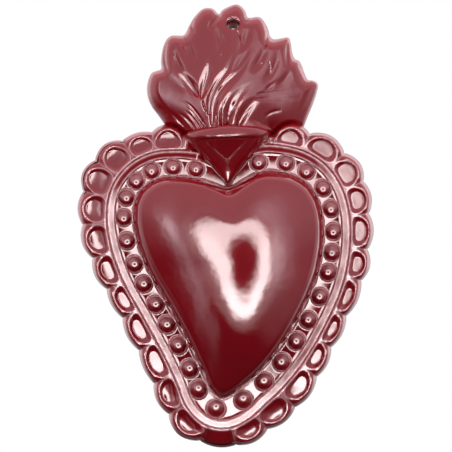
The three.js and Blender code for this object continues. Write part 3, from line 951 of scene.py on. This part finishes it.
KNEE_STEPS = 8  # on either side, over which the change between two slopes is rounded
KNEE_WIDTH = 1.2
RIM_WIDTH = 7  # where the dome turns down to the slab
RIM_SQUARENESS = 3
RIM_FULLNESS = 2.7
VALLEY_DEPTH = 1.5
VALLEY_HALF = 7
VALLEY_LENGTH = 0.55
DOME_SIDES = 360
DOME_RINGS = 72
HOLLOW_RINGS = 18


def blurred(values, sigma):
    """Values of a ring, smoothed along its first axis."""
    shifts = np.arange(-round(3 * sigma), round(3 * sigma) + 1)
    weights = bell(shifts / sigma)
    return sum(w * np.roll(values, k, 0) for k, w in zip(shifts, weights)) / weights.sum()


def dome_drop_field():
    """How far the dome has dropped at each bearing and distance, so that its steepest slope anywhere is the
    one that DOME_REACHES and DOME_SLOPES give there."""
    run = np.arange(0, DOME_RUN, DOME_STEP)
    bearing = np.arange(DOME_TURNS) * 360 / DOME_TURNS
    bearings, *reaches = np.array(DOME_REACHES).T
    wanted = []
    rounded = [blurred(np.interp(bearing, bearings, reach, period=360), REACH_BLUR) for reach in reaches]
    for gentle, middling in zip(*rounded):
        stops = [0, gentle, middling, *(middling + further for further in DOME_BEYOND), run[-1]]
        wanted.append(np.interp(run, stops, DOME_SLOPES))
    wanted = np.tan(np.radians(np.array(wanted)))
    beyond = np.repeat(wanted[:, -1:], KNEE_STEPS, 1)
    mirrored = np.concatenate([-wanted[:, KNEE_STEPS:0:-1], wanted, beyond], axis=1)
    kernel = bell(np.arange(-KNEE_STEPS, KNEE_STEPS + 1) * DOME_STEP / KNEE_WIDTH)
    wanted = np.array([np.convolve(row, kernel / kernel.sum(), "valid") for row in mirrored])

    def dropped(slopes):
        return np.concatenate([np.zeros((DOME_TURNS, 1)), np.cumsum(slopes[:, :-1], 1)], 1) * DOME_STEP

    radial = wanted
    for _ in range(DOME_PASSES):
        drop = dropped(radial)
        turned = (np.roll(drop, -1, 0) - np.roll(drop, 1, 0)) * DOME_TURNS / (4 * math.pi)
        left_over = wanted**2 - (turned / np.maximum(run, 1)) ** 2
        left_over = np.maximum(left_over, (LEAST_SLOPE * wanted) ** 2)
        radial = blurred(mix(radial, np.sqrt(left_over), PASS_WEIGHT), PASS_BLUR)
    return blurred(dropped(radial), DROP_BLUR)


dome_drops = dome_drop_field()


def dome_drop(distance, turn):
    column = turn / (2 * math.pi) % 1 * DOME_TURNS
    row = distance / DOME_STEP
    left, low = np.floor(column).astype(int), np.floor(row).astype(int)
    right = (left + 1) % DOME_TURNS
    left = left % DOME_TURNS
    nearer = mix(dome_drops[left, low], dome_drops[right, low], column % 1)
    return mix(nearer, mix(dome_drops[left, low + 1], dome_drops[right, low + 1], column % 1), row % 1)


def dome_rise(share, reach, turn):
    """Rise of the dome at a share of the way from the summit to its foot."""
    distance = share * reach
    across = distance * np.cos(turn) + summit[0] - cleft[0]
    in_valley = bell(across / VALLEY_HALF) * np.clip(np.sin(turn), 0, 1)
    valley = VALLEY_DEPTH * in_valley * stepped(share, 1 - VALLEY_LENGTH, VALLEY_LENGTH)
    into_rim = np.clip(1 - (1 - share) * reach / RIM_WIDTH, 0, 1)
    rim = 1 - (1 - into_rim**RIM_SQUARENESS) ** (1 / RIM_FULLNESS)
    return SLAB + (HEART_RISE - dome_drop(distance, turn) - valley) * (1 - rim)


def ring_shares(count):
    """Shares of the way to the dome's foot, closer together towards it."""
    return np.sin(np.linspace(0, 1, count + 1)[1:] * math.pi / 2)


def heart_dome():
    ray = foot[:: FOOT_STEPS // DOME_SIDES] - summit
    reach = np.linalg.norm(ray, axis=1)
    turn = np.arctan2(ray[:, 1], ray[:, 0])
    hollow = ray * (1 - HOLLOW_INSET / reach)[:, None]
    keep = 1 - HEART_WALL / HEART_RISE
    sheet = []
    for share in ring_shares(DOME_RINGS):
        sheet.append(raised(summit + ray * share, dome_rise(share, reach, turn)))
    for share in ring_shares(HOLLOW_RINGS)[::-1]:
        rises = SLAB + (dome_rise(share, reach, turn) - SLAB) * keep
        sheet.append(raised(summit + hollow * share, rises))
    crown = raised(summit, SLAB + HEART_RISE)
    ceiling = raised(summit, SLAB + HEART_RISE * keep)
    points, faces = ringed(np.array(sheet), crown, ceiling)
    bare = np.zeros(len(points))
    bare[DOME_RINGS * DOME_SIDES :] = 1
    bare[-2] = 0
    # Pale line low on the dome, by the glaze's corner at its foot: painted highlight
    above_foot = np.clip(-points[:, 1] - SLAB - FILLET_AT_HEART, 0, None)
    piece("heart_dome", points, faces, bare=bare, pale=pale_line(above_foot, DOME_LINE_WIDTH) * (1 - bare))


# Flames: scoops that divide the tongues, deepest at the root, as depth, half width and route from the root
SCOOPS = [
    (1.8, 2, [(-17.1, -36.5), (-20.4, -31.9), (-23.9, -27.3), (-27, -22.7), (-29, -20.1)]),
    (2, 2, [(-15.3, -37.1), (-13.6, -31.6), (-11.9, -25.3), (-11.6, -20.1), (-13.2, -15.6)]),
    (2.3, 1.7, [(-11.7, -45.4), (-10.9, -38.5), (-8.7, -33.3), (-5.5, -28.2), (-2.3, -23.6), (0.9, -14.1)]),
    (2.4, 1.7, [(-10.1, -50.6), (-9.3, -42), (-7.7, -36.8), (-4.3, -31.9), (4.3, -23.3), (10.6, -12.7)]),
    (2.5, 2.3, [(-2.8, -52), (-1.8, -45.4), (0.4, -39.7), (3.7, -35.1), (8.3, -31.6), (14, -27.6)]),
    (2.5, 2, [(2.5, -51.7), (4.8, -46), (7.7, -42), (11.1, -38.8), (15.7, -35.6)]),
    (1.6, 0.7, [(-5.8, -52.3), (-5.9, -45.4), (-5, -38.5)]),
    (1.3, 0.6, [(-7.9, -52), (-7.8, -44.3), (-6.5, -37.9)]),
    (1.3, 0.6, [(-4.1, -52), (-3.9, -46), (-2.6, -40.8)]),
    (0.5, 1.8, [(12.9, -35.9), (20.3, -35.4), (28.4, -34.2), (37, -33.1)]),
    (0.45, 1.4, [(11.7, -38.5), (19.8, -37.5), (30.1, -37.8), (37, -37.4)]),
    (0.7, 1.2, [(16.3, -33.9), (20.9, -30.5), (24.9, -27.6)]),
    (1.2, 0.6, [(-12.1, -52.9), (-14.7, -49.7), (-17.6, -45.4), (-21.6, -40.8), (-27.3, -37.5)]),
    (1.1, 0.55, [(-14.1, -53.1), (-16.9, -48.3), (-20, -44.3), (-24.2, -41.3)]),
    (1, 0.55, [(-15.9, -53.4), (-18.1, -49.4), (-21.6, -45.4), (-24.7, -43.1)]),
    (0.9, 0.6, [(-18.1, -53.7), (-20.4, -50.3), (-23.6, -47.1), (-27.3, -44.5)]),
    (0.8, 0.8, [(-22.1, -54), (-26.2, -49.1), (-30.8, -44.5), (-34.8, -41.1)]),
    (0.6, 0.7, [(-26.2, -52.9), (-30.2, -48), (-33.9, -44.8)]),
]
# Creases and soft folds, deepest halfway, in the same way
CREASES = [
    (0.7, 0.4, [(2.4, -4.1), (3.8, -7.2), (4.6, -11.2)]),
    (0.9, 0.45, [(16.7, -9.2), (16.7, -11.5), (15.7, -13.5)]),
    (0.8, 0.45, [(17.9, -19.3), (18.7, -22.4), (18.6, -25.3), (17.5, -28.5)]),
    (0.6, 0.4, [(12.8, -22), (15.3, -19.7)]),
    (0.5, 0.4, [(6.6, -0.2), (8.3, 1.8)]),
    (0.6, 0.4, [(-25.7, -10.8), (-23.2, -14.5)]),
    (0.5, 0.4, [(-6.6, -18.7), (-5.2, -15)]),
    (1.2, 0.5, [(-15, -39.1), (-14.1, -42), (-12.8, -44), (-12, -42.2)]),
    (1.1, 0.9, [(-31.6, -26.7), (-33.5, -20.7), (-33.9, -14.4), (-32.5, -9)]),
    (0.9, 0.9, [(-18.7, -5.2), (-20.4, -1.8), (-19.3, 2.2)]),
    (1.1, 1.2, [(-11.5, -3.2), (-9.1, 1.1), (-6.2, 5.2)]),
    (1, 0.9, [(16, -11), (17.6, -5.2), (16, 0.2)]),
    (1, 1.1, [(27.4, -22.4), (27.2, -15), (27.9, -8.1)]),
    (0.9, 1, [(37.3, -28.8), (35.8, -24.7), (32.8, -20.1)]),
    (0.8, 0.9, [(-22.1, -12.1), (-23.3, -8.1), (-23.6, -5.8)]),
    (0.35, 0.9, [(14.6, -48.8), (16.9, -46), (20.3, -44.3), (24.4, -43.6)]),
]
# Soft folds between the tongues, deepest a third of the way, from the root outward
FOLDS = [
    (0.9, 1.9, [(-18.3, -21), (-21.3, -14), (-22.3, -8), (-20.8, -2)]),
    (0.9, 1.8, [(-5.8, -18), (-5.3, -11), (-7.3, -3), (-8.3, 3)]),
    (0.7, 1.7, [(3.8, -17), (5.8, -11), (7.8, -4), (8.8, 2)]),
    (1, 1.9, [(8.8, -26), (12.8, -20), (15.8, -14), (17.8, -8)]),
    (0.5, 2, [(18.3, -33), (25, -29.5), (28.8, -24), (31.3, -18)]),
    (0.5, 1.9, [(-20.3, -35), (-25.3, -32), (-31.3, -27), (-34.8, -22)]),
    (0.8, 1.7, [(14.8, -31), (19.8, -24), (22.3, -17), (23.3, -10)]),
    (0.8, 1.6, [(-23.5, -27), (-27.5, -20), (-29.5, -13), (-29, -8)]),
    (0.7, 1.6, [(-1.3, -27), (3.2, -21), (6.8, -15), (8.8, -9)]),
]
# Crests below which the lowest tongues turn down to the border: the side that turns down, how steeply it
# does, and the route from the root
CRESTS = [
    (1, 0.25, [
        (-12.4, -52.6), (-14.7, -48.8), (-18.1, -44.5), (-22.1, -39.9), (-27.3, -36.5), (-37.1, -31),
        (-41.1, -27.6),
    ]),
    (-1, 0.36, [
        (5.7, -51.4), (7.1, -46.3), (11.1, -42.1), (15.7, -39.9), (21.5, -39.7), (27.8, -41.1),
        (34.1, -39.9), (41, -37.9),
    ]),
]
SCOOP_STEPS, CREASE_STEPS, FOLD_STEPS, CREST_STEPS = 18, 10, 14, 30  # points along each route
SCOOP_DEPTH = 0.85  # share of the depths given above
CREST_ROUND = 5
CREST_SHIFT = 4  # below the lines, where half of the slope is reached
CREST_REACH = 20
CREST_START = 0.12  # share of its length over which a crest comes in
CREST_FADE = (12, 8)  # above the line: where the turn starts to fade, and over what width
SCOOP_ENDS = 0.4  # half width at a scoop's ends, in shares of the given one
SCOOP_SWELL = 0.75  # how much wider it is at its widest
SCOOP_LEAN = 0.75  # under 1 brings its widest place nearer the root
CREASE_FULLNESS = 0.7  # under 1 keeps a crease deep for longer
CUT_REACH = 3  # half widths
FLAME_SLOPE = 0.305  # away from the root
MORE_SLOPE_RIGHT = 0.06
FLAME_TOP = 4  # distance over which they are round at the root
FLAME_STEPS = 640  # points along their outline
FLAME_SPACING = 0.36  # between the points of the flames' surface
FLAME_ROUND = 6.5  # width of the rounding along the outline
FLAME_SIDE = 0.9  # rise at the silhouette
EDGE_OUTWARD = 0.97  # normals there
EDGE_FORWARD = 0.24
NEAR_EDGE = 0.6  # reach of the search for the outline
LATTICE_INSET = 0.5  # of the even points from it
RING_INSETS = (0.14, 0.34)
RING_TOLERANCE = 0.9
SLOPE_STEP = 0.12  # over which the slopes are measured
FILM_REACH = 1.5  # how far round a point its height is compared for the glaze's thickness
FLAME_SEAT = 5.5  # rise where they meet the slab
SEAT_WIDTH = 2.5
SEAT_OVERLAP = 1  # of the flames over the slab's edge
SEAT_MARGIN = 0.6  # from their outline's ends

# Nail hole: the mouth, and the narrower way through that slants down to the wall
NAIL_MOUTH = (0.25, -0.5)
NAIL_MOUTH_HALF = (3.3, 2.65)
NAIL_BACK = (0.2, -4.6)
NAIL_BACK_HALF = 2.3
NAIL_LIP = 0.45
NAIL_SIDES = 56
NAIL_RINGS = 6
NAIL_LIP_WIDTH = 0.25  # in shares of the mouth's halves, like the next two
NAIL_RIM = 1.07  # first ring round the mouth
NAIL_CLEAR = 1.14  # from where the flames' even points start


def flame_place(across, up):
    return np.array([across / 100 * FLAME_WIDTH, FLAME_FOOT + up / 100 * FLAME_HEIGHT])


flame_root = flame_place(*FLAME_ROOT)
flame_outline = smooth_line([flame_place(*p) for p in FLAME_DRAWING], FLAME_STEPS, closed=False)


def routed(rows, count):
    """The same rows with each route as a smooth line."""
    return [(*sizes, smooth_line(route, count, closed=False)) for *sizes, route in rows]


def scoop_shape(distance, share, half):
    """Flat-bottomed at the root and rounder along its way, where it also narrows to a point."""
    leaf = half * (SCOOP_ENDS + SCOOP_SWELL * np.sin(np.pi * share**SCOOP_LEAN))
    return SCOOP_DEPTH * (1 - smooth(share)) * np.exp(-((distance / leaf) ** (3 - share)))


def crease_shape(distance, share, half):
    return np.sin(np.pi * share) ** CREASE_FULLNESS * bell(distance / half)


def fold_shape(distance, share, half):
    return smooth(3 * share) * (1 - stepped(share, 1 / 3, 2 / 3)) * bell(distance / half)


flame_cuts = [
    (scoop_shape, routed(SCOOPS, SCOOP_STEPS)),
    (crease_shape, routed(CREASES, CREASE_STEPS)),
    (fold_shape, routed(FOLDS, FOLD_STEPS)),
]
crest_paths = routed(CRESTS, CREST_STEPS)


def from_nail(places):
    """Distance from the nail hole's middle, where its mouth's edge is at 1."""
    return np.hypot(*((places - NAIL_MOUTH) / NAIL_MOUTH_HALF).T)


def flame_rise(places, free_edge, slab_edge):
    from_root = np.hypot(*(places - flame_root).T)
    rightward = np.clip((places - flame_root)[:, 0] / (from_root + 1), 0, 1) ** 2
    away = np.hypot(from_root, FLAME_TOP) - FLAME_TOP
    rise = FLAME_RISE - (FLAME_SLOPE + MORE_SLOPE_RIGHT * rightward) * away
    for down_side, slope, path in crest_paths:
        distance, share, side = path_distance(places, path, CREST_REACH)
        below = np.where(side == down_side, distance, -distance)
        below = np.clip(below, -CREST_REACH, CREST_REACH) - CREST_SHIFT
        turned = slope * (np.hypot(below, CREST_ROUND) + below) / 2
        faded = stepped(distance, *CREST_FADE) * (below < 0)
        rise = rise - turned * smooth(share / CREST_START) * (1 - faded)
    cubes = 0
    for shape, cuts in flame_cuts:
        for depth, half, path in cuts:
            distance, share, _ = path_distance(places, path, CUT_REACH * half)
            cubes = cubes + (depth * shape(distance, share, half)) ** 3
    rise = rise - cubes ** (1 / 3)
    from_slab, _, _ = path_distance(places, slab_edge, SEAT_WIDTH)
    rise = mix(rise, FLAME_SEAT, 1 - smooth(from_slab / SEAT_WIDTH))
    from_edge, _, _ = path_distance(places, free_edge, FLAME_ROUND)
    into_round = np.clip(1 - from_edge / FLAME_ROUND, 0, 1)
    rise = mix(FLAME_SIDE, rise, np.sqrt(1 - into_round**2))
    return rise - NAIL_LIP * bell((from_nail(places) - 1) / NAIL_LIP_WIDTH)


def flame_places(outline, mouth):
    """Groups of places on the flames, between their outline and the nail hole: a lattice of even triangles,
    two rings close inside the outline and one round the hole."""
    low, high = outline.min(0), outline.max(0)
    rows = []
    for r, z in enumerate(np.arange(low[1], high[1], FLAME_SPACING * math.sqrt(3) / 2)):
        xs = np.arange(low[0] + (r % 2) * FLAME_SPACING / 2, high[0], FLAME_SPACING)
        rows.append(np.column_stack([xs, np.full(len(xs), z)]))
    closed = np.vstack([outline, outline[:1]])
    groups = [(np.vstack(rows), LATTICE_INSET)]
    groups += [(outline - right_of(outline) * inset, inset * RING_TOLERANCE) for inset in RING_INSETS]
    chosen = []
    for places, clear in groups:
        keep = inside_polygon(places, outline) & (path_distance(places, closed, NEAR_EDGE)[0] > clear)
        chosen.append(places[keep & (from_nail(places) > NAIL_CLEAR)])
    return [*chosen, NAIL_MOUTH + (mouth - NAIL_MOUTH) * NAIL_RIM]


def flame_crown():
    seat_columns = np.flatnonzero(np.isin(col_cell, (CELLS - 1, CELLS, 0)))
    order = np.concatenate([seat_columns[seat_columns >= COLUMNS], seat_columns[seat_columns < COLUMNS]])
    seat = col_rim[order] - [0, SEAT_OVERLAP]
    left, right = flame_outline[0, 0] + SEAT_MARGIN, flame_outline[-1, 0] - SEAT_MARGIN
    seat = seat[(seat[:, 0] < right) & (seat[:, 0] > left)][::2]
    outline = np.vstack([flame_outline[::-1], seat[::-1]])
    mouth = ellipse(NAIL_MOUTH, NAIL_MOUTH_HALF, NAIL_SIDES)
    back_half = (NAIL_BACK_HALF, NAIL_BACK_HALF)
    exit_ring = ellipse(NAIL_BACK, back_half, NAIL_SIDES)

    count = len(outline)
    edge = [(k, (k + 1) % count) for k in range(count)]
    nail = [(count + k, count + (k + 1) % NAIL_SIDES) for k in range(NAIL_SIDES)]
    places = np.vstack([outline, mouth, *flame_places(outline, mouth)])
    top_faces = triangulated(places, edge + nail, NAIL_MOUTH, NAIL_MOUTH_HALF)
    back_places = np.vstack([outline, exit_ring])
    back_faces = triangulated(back_places, edge + nail, NAIL_BACK, back_half)

    def rises(spots):
        return flame_rise(spots, flame_outline, seat)

    heights = rises(places)
    slopes = [
        (rises(places + step) - rises(places - step)) / (2 * SLOPE_STEP)
        for step in (np.array([SLOPE_STEP, 0]), np.array([0, SLOPE_STEP]))
    ]
    normals = unit(np.column_stack([-slopes[0], -np.ones(len(heights)), -slopes[1]]))
    normals[:count] = raised(EDGE_OUTWARD * right_of(outline), EDGE_FORWARD)
    around = ellipse((0, 0), (FILM_REACH, FILM_REACH), 6)
    film = np.mean([rises(places + offset) for offset in around], axis=0) - heights

    way = []
    for share in np.arange(1, NAIL_RINGS) / NAIL_RINGS:
        ring = mix(mouth, exit_ring, share)
        way.append(raised(ring, heights[count : count + NAIL_SIDES] * (1 - share)))
    points = np.vstack([raised(places, heights), raised(back_places, 0), *way])
    base = len(places)
    through = base + len(back_places)
    faces = [tuple(face) for face in top_faces]
    plain = range(len(faces), len(faces) + len(back_faces) + count)
    faces += [tuple(base + k for k in reversed(face)) for face in back_faces]
    faces += [(b, a, base + a, base + b) for a, b in edge]
    starts = [count, *(through + r * NAIL_SIDES for r in range(NAIL_RINGS - 1)), base + count]
    for first, following in zip(starts, starts[1:]):
        for k in range(NAIL_SIDES):
            beside = (k + 1) % NAIL_SIDES
            faces.append((first + beside, first + k, following + k, following + beside))
    others = len(points) - base
    bare = np.zeros(len(points))
    bare[base:through] = 1
    normals = np.vstack([normals, np.zeros((others, 3))])
    film = np.append(film, np.zeros(others))
    piece("flame_crown", points, faces, normals=normals, plain=plain, glaze=film, bare=bare)


def inside_polygon(places, polygon):
    x, z = places[:, 0], places[:, 1]
    inside = np.zeros(len(places), bool)
    for a, b in zip(polygon, np.roll(polygon, -1, 0)):
        crosses = (a[1] > z) != (b[1] > z)
        at = a[0] + (z - a[1]) / (b[1] - a[1] + 1e-12) * (b[0] - a[0])
        inside ^= crosses & (x < at)
    return inside


def triangulated(places, boundary, hole_middle, hole_halves):
    """Triangles between the boundary's lines, without those in the nail hole."""
    made = geometry.delaunay_2d_cdt([Vector(p) for p in places], boundary, [], 1, 1e-6)
    if len(made[0]) != len(places):
        raise ValueError("the outline crosses itself")
    out = np.array([tuple(p) for p in made[0]])
    order = [ids[0] for ids in made[3]]
    faces = []
    for face in made[2]:
        middle = (out[list(face)].mean(0) - hole_middle) / hole_halves
        if np.hypot(*middle) > 0.999:
            faces.append([order[k] for k in face])
    return faces


def collar():
    rows = smooth_line(COLLAR_PROFILE, COLLAR_ROWS, closed=False)
    top_up, top_half, top_rise = rows[-1]
    dish = []
    for share in np.linspace(0, 1, DISH_RINGS + 1)[1:-1]:
        up = top_up - DISH_DEPTH * smooth(share * DISH_STEEPNESS)
        dish.append((up, top_half * (1 - share), mix(top_rise, DISH_RISE, share)))
    turn = np.pi * (1 + np.arange(COLLAR_SIDES + 1) / COLLAR_SIDES)
    sheet = []
    for up, half, rise in np.vstack([rows, dish]):
        x = np.cos(turn) * half / 100 * COLLAR_WIDTH / 2 + COLLAR_LEAN * up / 100
        out = np.sin(turn) * rise / 100 * COLLAR_RISE
        sheet.append(np.column_stack([x, out - SLAB, np.full(len(turn), up / 100 * COLLAR_HEIGHT)]))
    sheet = np.array(sheet)
    points, faces = ringed(sheet, sheet[0].mean(0), sheet[-1].mean(0))
    x, y, z = points.T
    cos, sin = math.cos(COLLAR_TILT), math.sin(COLLAR_TILT)
    points = np.column_stack([x * cos - z * sin + cleft[0], y, x * sin + z * cos])
    points[:, 2] += cleft[1] + COLLAR_ABOVE_CLEFT
    piece("collar", points, faces)


# Studio

# The ring: degrees off the camera's line where it starts, is full, starts to fade and ends. Its faint outer
# part: share of its radiance, degrees over which it starts, and degrees where it starts to fade and ends.
RING_LIGHT = (8, 17, 22, 28.5)
RING_TAIL = (0.12, 5, 28, 37)
TAIL_DIM_ABOVE = 0.8
RING_SIDES = (0.2, 2 / 3)  # in shares of its radius up or down: where it starts to change, and over what way
RING_DIM_ABOVE = 0.25
RING_MORE_BELOW = 0.25
RING_RADIANCE = 21
RING_TINT = (1.06, 0.95, 0.95)
TENT_RADIUS = 4000
TENT_REACH = 155  # degrees off the camera's line
TENT_RINGS = 156
TENT_TURNS = 144
TENT_HOLE = 0.02  # on the camera's line, in shares of a ring's width
SOFT_BOXES = [  # degrees to the right and up, width and height, radiance
    (-38, -6, 5, 24, 2.6),
    (-43, 5, 4.5, 10, 6),
    (31, 4, 8, 13, 4.5),
    (20, 27, 15, 9, 2.2),
]
UPPER_RADIANCE = 0.75
SIDE_RADIANCE = 2
BACK_RADIANCE = 2.6
LOW_BACK_RADIANCE = 0.5
MORE_BACK_RIGHT = 0.6
LOWER_RADIANCE = 0.03
HAZE_RADIANCE = 0.7
SKY_TINT = (1.05, 0.92, 1)
BACK_TINT = (1, 0.84, 0.88)
# Degrees where a light starts and over which it rises: off the camera's line for those with AROUND, and
# upward from the horizon for those with START.
UPPER_AROUND = (22, 10)
UPPER_START = (-2, 22)
HAZE_AROUND = (26, 8)
HAZE_START = (-18, -27)  # at the far left, and how much lower at the far right
HAZE_TURN = (-40, 80)  # to the right, where it goes from one to the other
HAZE_RISE = 25
SIDE_AROUND = (60, 25)
BACK_AROUND = (95, 25)
BACK_DIM = 0.75
BACK_DIM_AROUND = (125, 25)
BACK_TINT_AROUND = (70, 40)
NOT_BELOW_START = (-32, 30)
SKY_LEVEL = 0.85  # what a matt surface that faces the camera gets
SKY_SLOPE = 1.4  # how much more comes from above than from the front
SKY_MOST = 1.15
FLOOR_COLOUR = (0.5, 0.5, 0.5)
FLOOR_ROUGHNESS = 0.9
FLOOR_HALF = 1500
FLOOR_BEHIND = 900
FLOOR_LEVEL = -300


def tent_glow(directions):
    """Light that polished clay sees round it, in each direction from the heart."""
    x, y, z = directions.T
    off_axis = np.degrees(np.arccos(np.clip(-y, -1, 1)))
    right = np.degrees(np.arctan2(x, -y))
    up = np.degrees(np.arcsin(np.clip(z, -1, 1)))

    start, full, fade, end = RING_LIGHT
    faint, tail_start, tail_fade, tail_end = RING_TAIL
    ring = stepped(off_axis, start, full - start) * (1 - stepped(off_axis, fade, end - fade))
    tail = stepped(off_axis, fade, tail_start) * (1 - stepped(off_axis, tail_fade, tail_end - tail_fade))
    upward = z / np.hypot(x, z)
    above, below = stepped(upward, *RING_SIDES), stepped(-upward, *RING_SIDES)
    ring = ring * (1 - RING_DIM_ABOVE * above + RING_MORE_BELOW * below)
    ring += faint * tail * (1 - TAIL_DIM_ABOVE * above)

    around = stepped(off_axis, *UPPER_AROUND)
    glow = LOWER_RADIANCE + UPPER_RADIANCE * stepped(up, *UPPER_START) * around
    for box_right, box_up, width, height, radiance in SOFT_BOXES:
        glow += radiance * bell((right - box_right) / width) * bell((up - box_up) / height)
    haze_start = HAZE_START[0] + HAZE_START[1] * stepped(right, *HAZE_TURN)
    glow += HAZE_RADIANCE * stepped(off_axis, *HAZE_AROUND) * stepped(up, haze_start, HAZE_RISE)

    not_below = stepped(up, *NOT_BELOW_START)
    glow = np.maximum(glow, SIDE_RADIANCE * stepped(off_axis, *SIDE_AROUND) * not_below)
    behind = stepped(off_axis, *BACK_AROUND) * (1 - BACK_DIM * stepped(off_axis, *BACK_DIM_AROUND))
    behind *= 1 + MORE_BACK_RIGHT * np.clip(x, 0, 1)
    glow = np.maximum(glow, (LOW_BACK_RADIANCE + BACK_RADIANCE * not_below) * behind)
    tint = mix(np.array(SKY_TINT), np.array(BACK_TINT), stepped(off_axis, *BACK_TINT_AROUND)[:, None])
    return glow[:, None] * tint + RING_RADIANCE * ring[:, None] * RING_TINT


def tent():
    points, glow = [], []
    for r in range(TENT_RINGS + 1):
        off = math.radians(TENT_REACH) * (r + TENT_HOLE) / TENT_RINGS
        directions = raised(ellipse((0, 0), math.sin(off), TENT_TURNS), math.cos(off))
        points.append(directions * TENT_RADIUS + [0, 0, PICTURE_MIDDLE[1]])
        glow.append(tent_glow(directions))
    mesh = bpy.data.meshes.new("tent")
    faces = grid_faces(TENT_RINGS + 1, TENT_TURNS, close_rows=False, close_columns=True)
    faces.append(tuple(range(TENT_TURNS)))
    mesh.from_pydata((np.vstack(points) * MM).tolist(), [], faces)
    layer = mesh.attributes.new("glow", "FLOAT_COLOR", "POINT")
    colours = np.insert(np.vstack(glow), 3, 1, axis=1)
    layer.data.foreach_set("color", colours.ravel().astype(np.float32))
    material, tree = new_material("tent_light")
    tree.nodes.clear()
    emission = add_node(tree, "Emission")
    output = add_node(tree, "OutputMaterial")
    tree.links.new(field(tree, "glow", "Color"), emission.inputs["Color"])
    tree.links.new(emission.outputs["Emission"], output.inputs["Surface"])
    mesh.materials.append(material)
    made = placed("tent", mesh)
    made.visible_camera = False
    made.visible_diffuse = False
    made.visible_shadow = False
    made.visible_transmission = False


def camera():
    data = bpy.data.cameras.new("camera")
    data.sensor_width = SENSOR
    data.lens = SENSOR * CAMERA_DISTANCE / PICTURE_WIDTH
    data.clip_end = 20
    made = placed("camera", data)
    made.location = Vector((PICTURE_MIDDLE[0], -CAMERA_DISTANCE, PICTURE_MIDDLE[1])) * MM
    made.rotation_euler = (math.pi / 2, 0, 0)
    bpy.context.scene.camera = made


def world():
    """White to the camera and in reflections. What lights matt surfaces fades from above to below."""
    made = bpy.data.worlds.new("studio")
    bpy.context.scene.world = made
    made.use_nodes = True
    tree = made.node_tree
    link = tree.links.new
    background = tree.nodes["Background"]
    background.inputs["Color"].default_value = (1, 1, 1, 1)
    path = add_node(tree, "LightPath")
    seen = path.outputs["Is Camera Ray"]
    for ray in ("Is Glossy Ray", "Is Transmission Ray"):
        seen = reckon(tree, "MAXIMUM", seen, path.outputs[ray])
    split = add_node(tree, "SeparateXYZ")
    link(add_node(tree, "TexCoord").outputs["Generated"], split.inputs["Vector"])
    above = reckon(tree, "MULTIPLY", split.outputs["Z"], SKY_SLOPE)
    lit = reckon(tree, "MAXIMUM", reckon(tree, "ADD", above, SKY_LEVEL), 0)
    lit = reckon(tree, "MINIMUM", lit, SKY_MOST)
    unseen = reckon(tree, "MULTIPLY", lit, reckon(tree, "SUBTRACT", 1, seen))
    link(reckon(tree, "ADD", unseen, seen), background.inputs["Strength"])


def floor():
    mesh = bpy.data.meshes.new("floor")
    across, along = (-FLOOR_HALF, FLOOR_HALF), (-FLOOR_HALF, FLOOR_BEHIND)
    points = [Vector((x, y, FLOOR_LEVEL)) * MM for y in along for x in across]
    mesh.from_pydata(points, [], [(0, 1, 3, 2)])
    material, tree = new_material("pale_floor")
    shader = tree.nodes["Principled BSDF"]
    shader.inputs["Base Color"].default_value = (*FLOOR_COLOUR, 1)
    shader.inputs["Roughness"].default_value = FLOOR_ROUGHNESS
    mesh.materials.append(material)
    made = placed("floor", mesh)
    made.visible_glossy = False
    made.visible_diffuse = False


camera()
back_plate()
border()
beads()
heart_dome()
flame_crown()
collar()
tent()
floor()
world()
bpy.context.scene.view_settings.view_transform = "Standard"
